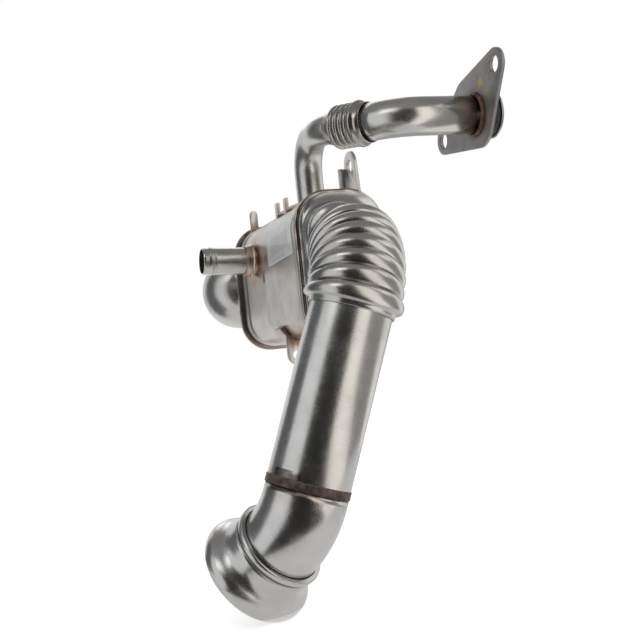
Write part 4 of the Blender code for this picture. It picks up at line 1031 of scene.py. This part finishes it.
def makeLabel():
    work = bmesh.new()
    bmesh.ops.create_grid(work, x_segments=40, y_segments=24, size=0.5)
    half, radius, bend = core["width"] / 2, core["radius"], core["height"] - core["radius"]
    sunk = core["panel"]["depth"] - label["proud"]
    for vertex in work.verts:
        across, up = (low + (high - low) * (place + 0.5) for low, high, place
                      in zip(label["low"], label["high"], vertex.co))
        up -= (across + 30) * label["tilt"]
        over = max(up - bend, 0) / radius
        if over > 0:
            vertex.co = at(-(half - radius) - (radius - sunk) * math.cos(over), across,
                           bend + (radius - sunk) * math.sin(over))
        else:
            vertex.co = at(-half + sunk, across, up)
    turnedOut(work)
    if sum(f.normal.x for f in work.faces) > 0:
        bmesh.ops.reverse_faces(work, faces=work.faces)
    finish = Finish("labelFoil")
    cloud = finish.cloud(120, 3)
    fine = finish.cloud(900, 3)
    finish.colour = finish.blend(cloud.fade(0.3, 0.7), (0.55, 0.56, 0.57), (0.63, 0.64, 0.65))
    y, z = finish.axis("Y"), finish.axis("Z")
    tilted = z + y * label["tilt"]
    inY = y.fade(-0.0525, -0.0515) * y.fade(-0.011, -0.012)
    inZ = tilted.fade(0.0592, 0.0598) * tilted.fade(0.0712, 0.0706)
    finish.tint(inY * inZ * 0.5, (0.4, 0.4, 0.41))       # a plain soft grey field
    finish.feed("Base Color", finish.colour)
    finish.feed("Roughness", fine * 0.15 + 0.32)
    finish.feed("Coat Weight", 0.3)
    finish.bump(cloud * 0.5 + fine * 0.5, 0.1, 0.0003)
    dressed("blankLabel", work, finish.material, "housing", -label["thick"], replaces=False)


makeLabel()


def finishInside():                  # the core's inner sheets keep their CAD shape
    tube = steel("tubeSteel", tone=(0.46, 0.435, 0.41), rough=0.3, lines="long", way=(0, 1, 0),
                 dirt=0.3)
    tube.tint(tube.axis("Y").size().fade(0.06, 0.077) * 0.4, copperTone)
    sheet = steel("baffleSteel", tone=(0.46, 0.44, 0.42), rough=0.34, lines="long", way=(1, 0, 0),
                  dirt=0.3)
    tubeMaterial, sheetMaterial = close(tube), close(sheet)
    for name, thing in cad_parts.items():
        if name.startswith("gas_tube"):
            thing.material_slots[0].material = tubeMaterial
        elif name.endswith("baffle"):
            thing.material_slots[0].material = sheetMaterial


finishInside()
print("brackets, label and inner parts made")


# Studio: floor, backdrop, grey cards, lamps.
# A card: its start and end in degrees round the object from the camera's side, positive to the
# camera's right, its brightness and its tone. Only mirror rays see the cards.
studio = {"floor": -0.1545, "floorSize": 6, "floorGlow": 0.62, "world": 0.5, "cardReach": 1.5,
          "cardHead": 1.3, "cardFoot": 0.215, "aim": (0, 0, 0.02),
          "cards": ((-180, -128, 0.95, (1, 1, 1)), (-128, -80, 0.15, (0.88, 0.94, 1)),
                    (-80, -33, 1.0, (0.97, 0.98, 1)), (-33, 22, 0.03, (1, 0.97, 0.95)),
                    (22, 52, 1.35, (1, 0.965, 0.91)), (52, 100, 0.36, (1, 0.98, 0.96)),
                    (100, 140, 1.1, (1, 0.98, 0.95)), (140, 180, 0.5, (1, 1, 1))),
          "lids": (("ceiling", (0, -0.1, 1.3), 1.6, 0.28), ("underCard", (0, 0, -0.150), 0.215, 0.8)),
          "lamps": (("key", (-0.9, -0.7, 1.2), 0.8, 3), ("fill", (1.1, -0.6, 0.8), 0.7, 1.5),
                    ("back", (0.2, 1.2, 1.0), 0.8, 2))}


def seenMask(maker):                 # camera, mirror and glass rays see the white background
    camera, glossy, through = (maker.node("ShaderNodeLightPath", out="Is " + ray + " Ray")
                               for ray in ("Camera", "Glossy", "Transmission"))
    return camera.most(glossy).most(through)


def makeCard(name, work, level, tone=(1, 1, 1)):
    finish = Finish(name)
    finish.show(finish.node("ShaderNodeEmission", None, {"Color": (*tone, 1), "Strength": level}))
    thing = objectOf(name, work, finish.material)
    thing.visible_camera = thing.visible_shadow = thing.visible_diffuse = False


def makeFloor():
    finish = Finish("paperWhite")
    finish.feed("Base Color", (0.86, 0.86, 0.86, 1))
    finish.feed("Roughness", 0.9)
    finish.feed("Specular IOR Level", 0.0)
    glow = finish.node("ShaderNodeEmission", None, {"Strength": studio["floorGlow"]})
    plain = Wire(finish, finish.shader.outputs[0])
    both = finish.node("ShaderNodeAddShader", None, {0: plain, 1: glow})
    finish.show(finish.node("ShaderNodeMixShader", None, {0: seenMask(finish), 1: plain, 2: both}))
    work = bmesh.new()
    bmesh.ops.create_grid(work, x_segments=1, y_segments=1, size=studio["floorSize"])
    bmesh.ops.translate(work, verts=work.verts, vec=(0, 0, studio["floor"]))
    objectOf("floor", work, finish.material)


def makeCards():
    home = math.atan2(camera.location.y, camera.location.x) + math.radians(90)
    ground, reach = studio["floor"] + 0.003, studio["cardReach"]
    for index, (start, end, level, tone) in enumerate(studio["cards"]):
        work = bmesh.new()
        spots = [work.verts.new((0, -out, up)) for out, up in
                 ((studio["cardFoot"], ground), (reach, ground), (reach, studio["cardHead"]))]
        edges = [work.edges.new(spots[:2]), work.edges.new(spots[1:])]
        bmesh.ops.rotate(work, verts=spots, cent=(0, 0, 0),
                         matrix=Matrix.Rotation(home + math.radians(start), 3, "Z"))
        bmesh.ops.spin(work, geom=spots + edges, cent=(0, 0, 0), axis=(0, 0, 1),
                       angle=math.radians(end - start), steps=24, use_merge=False)
        makeCard("card" + str(index), work, level, tone)
    for name, place, radius, level in studio["lids"]:
        work = bmesh.new()
        bmesh.ops.create_circle(work, cap_ends=True, segments=48, radius=radius,
                                matrix=Matrix.Translation(place))
        makeCard(name, work, level)


def makeWorld():
    world = bpy.data.worlds.new("studio")
    scene.world = world
    world.use_nodes = True
    nodes = Nodes(world.node_tree)
    dim, white = (nodes.node("ShaderNodeBackground", None, {"Color": (1, 1, 1, 1), "Strength": level})
                  for level in (studio["world"], 1))
    mix = nodes.node("ShaderNodeMixShader", None, {0: seenMask(nodes), 1: dim, 2: white})
    nodes.join(world.node_tree.nodes["World Output"].inputs["Surface"], mix)


def makeLamps():
    for name, place, size, power in studio["lamps"]:
        lamp = bpy.data.lights.new(name, "AREA")
        lamp.size, lamp.energy = size, power
        thing = bpy.data.objects.new(name, lamp)
        thing.location = place
        thing.rotation_mode = "QUATERNION"
        towards = Vector(studio["aim"]) - Vector(place)
        thing.rotation_quaternion = towards.to_track_quat("-Z", "Y")
        scene.collection.objects.link(thing)


makeFloor()
makeCards()
makeWorld()
makeLamps()
scene.view_settings.view_transform = "Standard"
print("studio made")
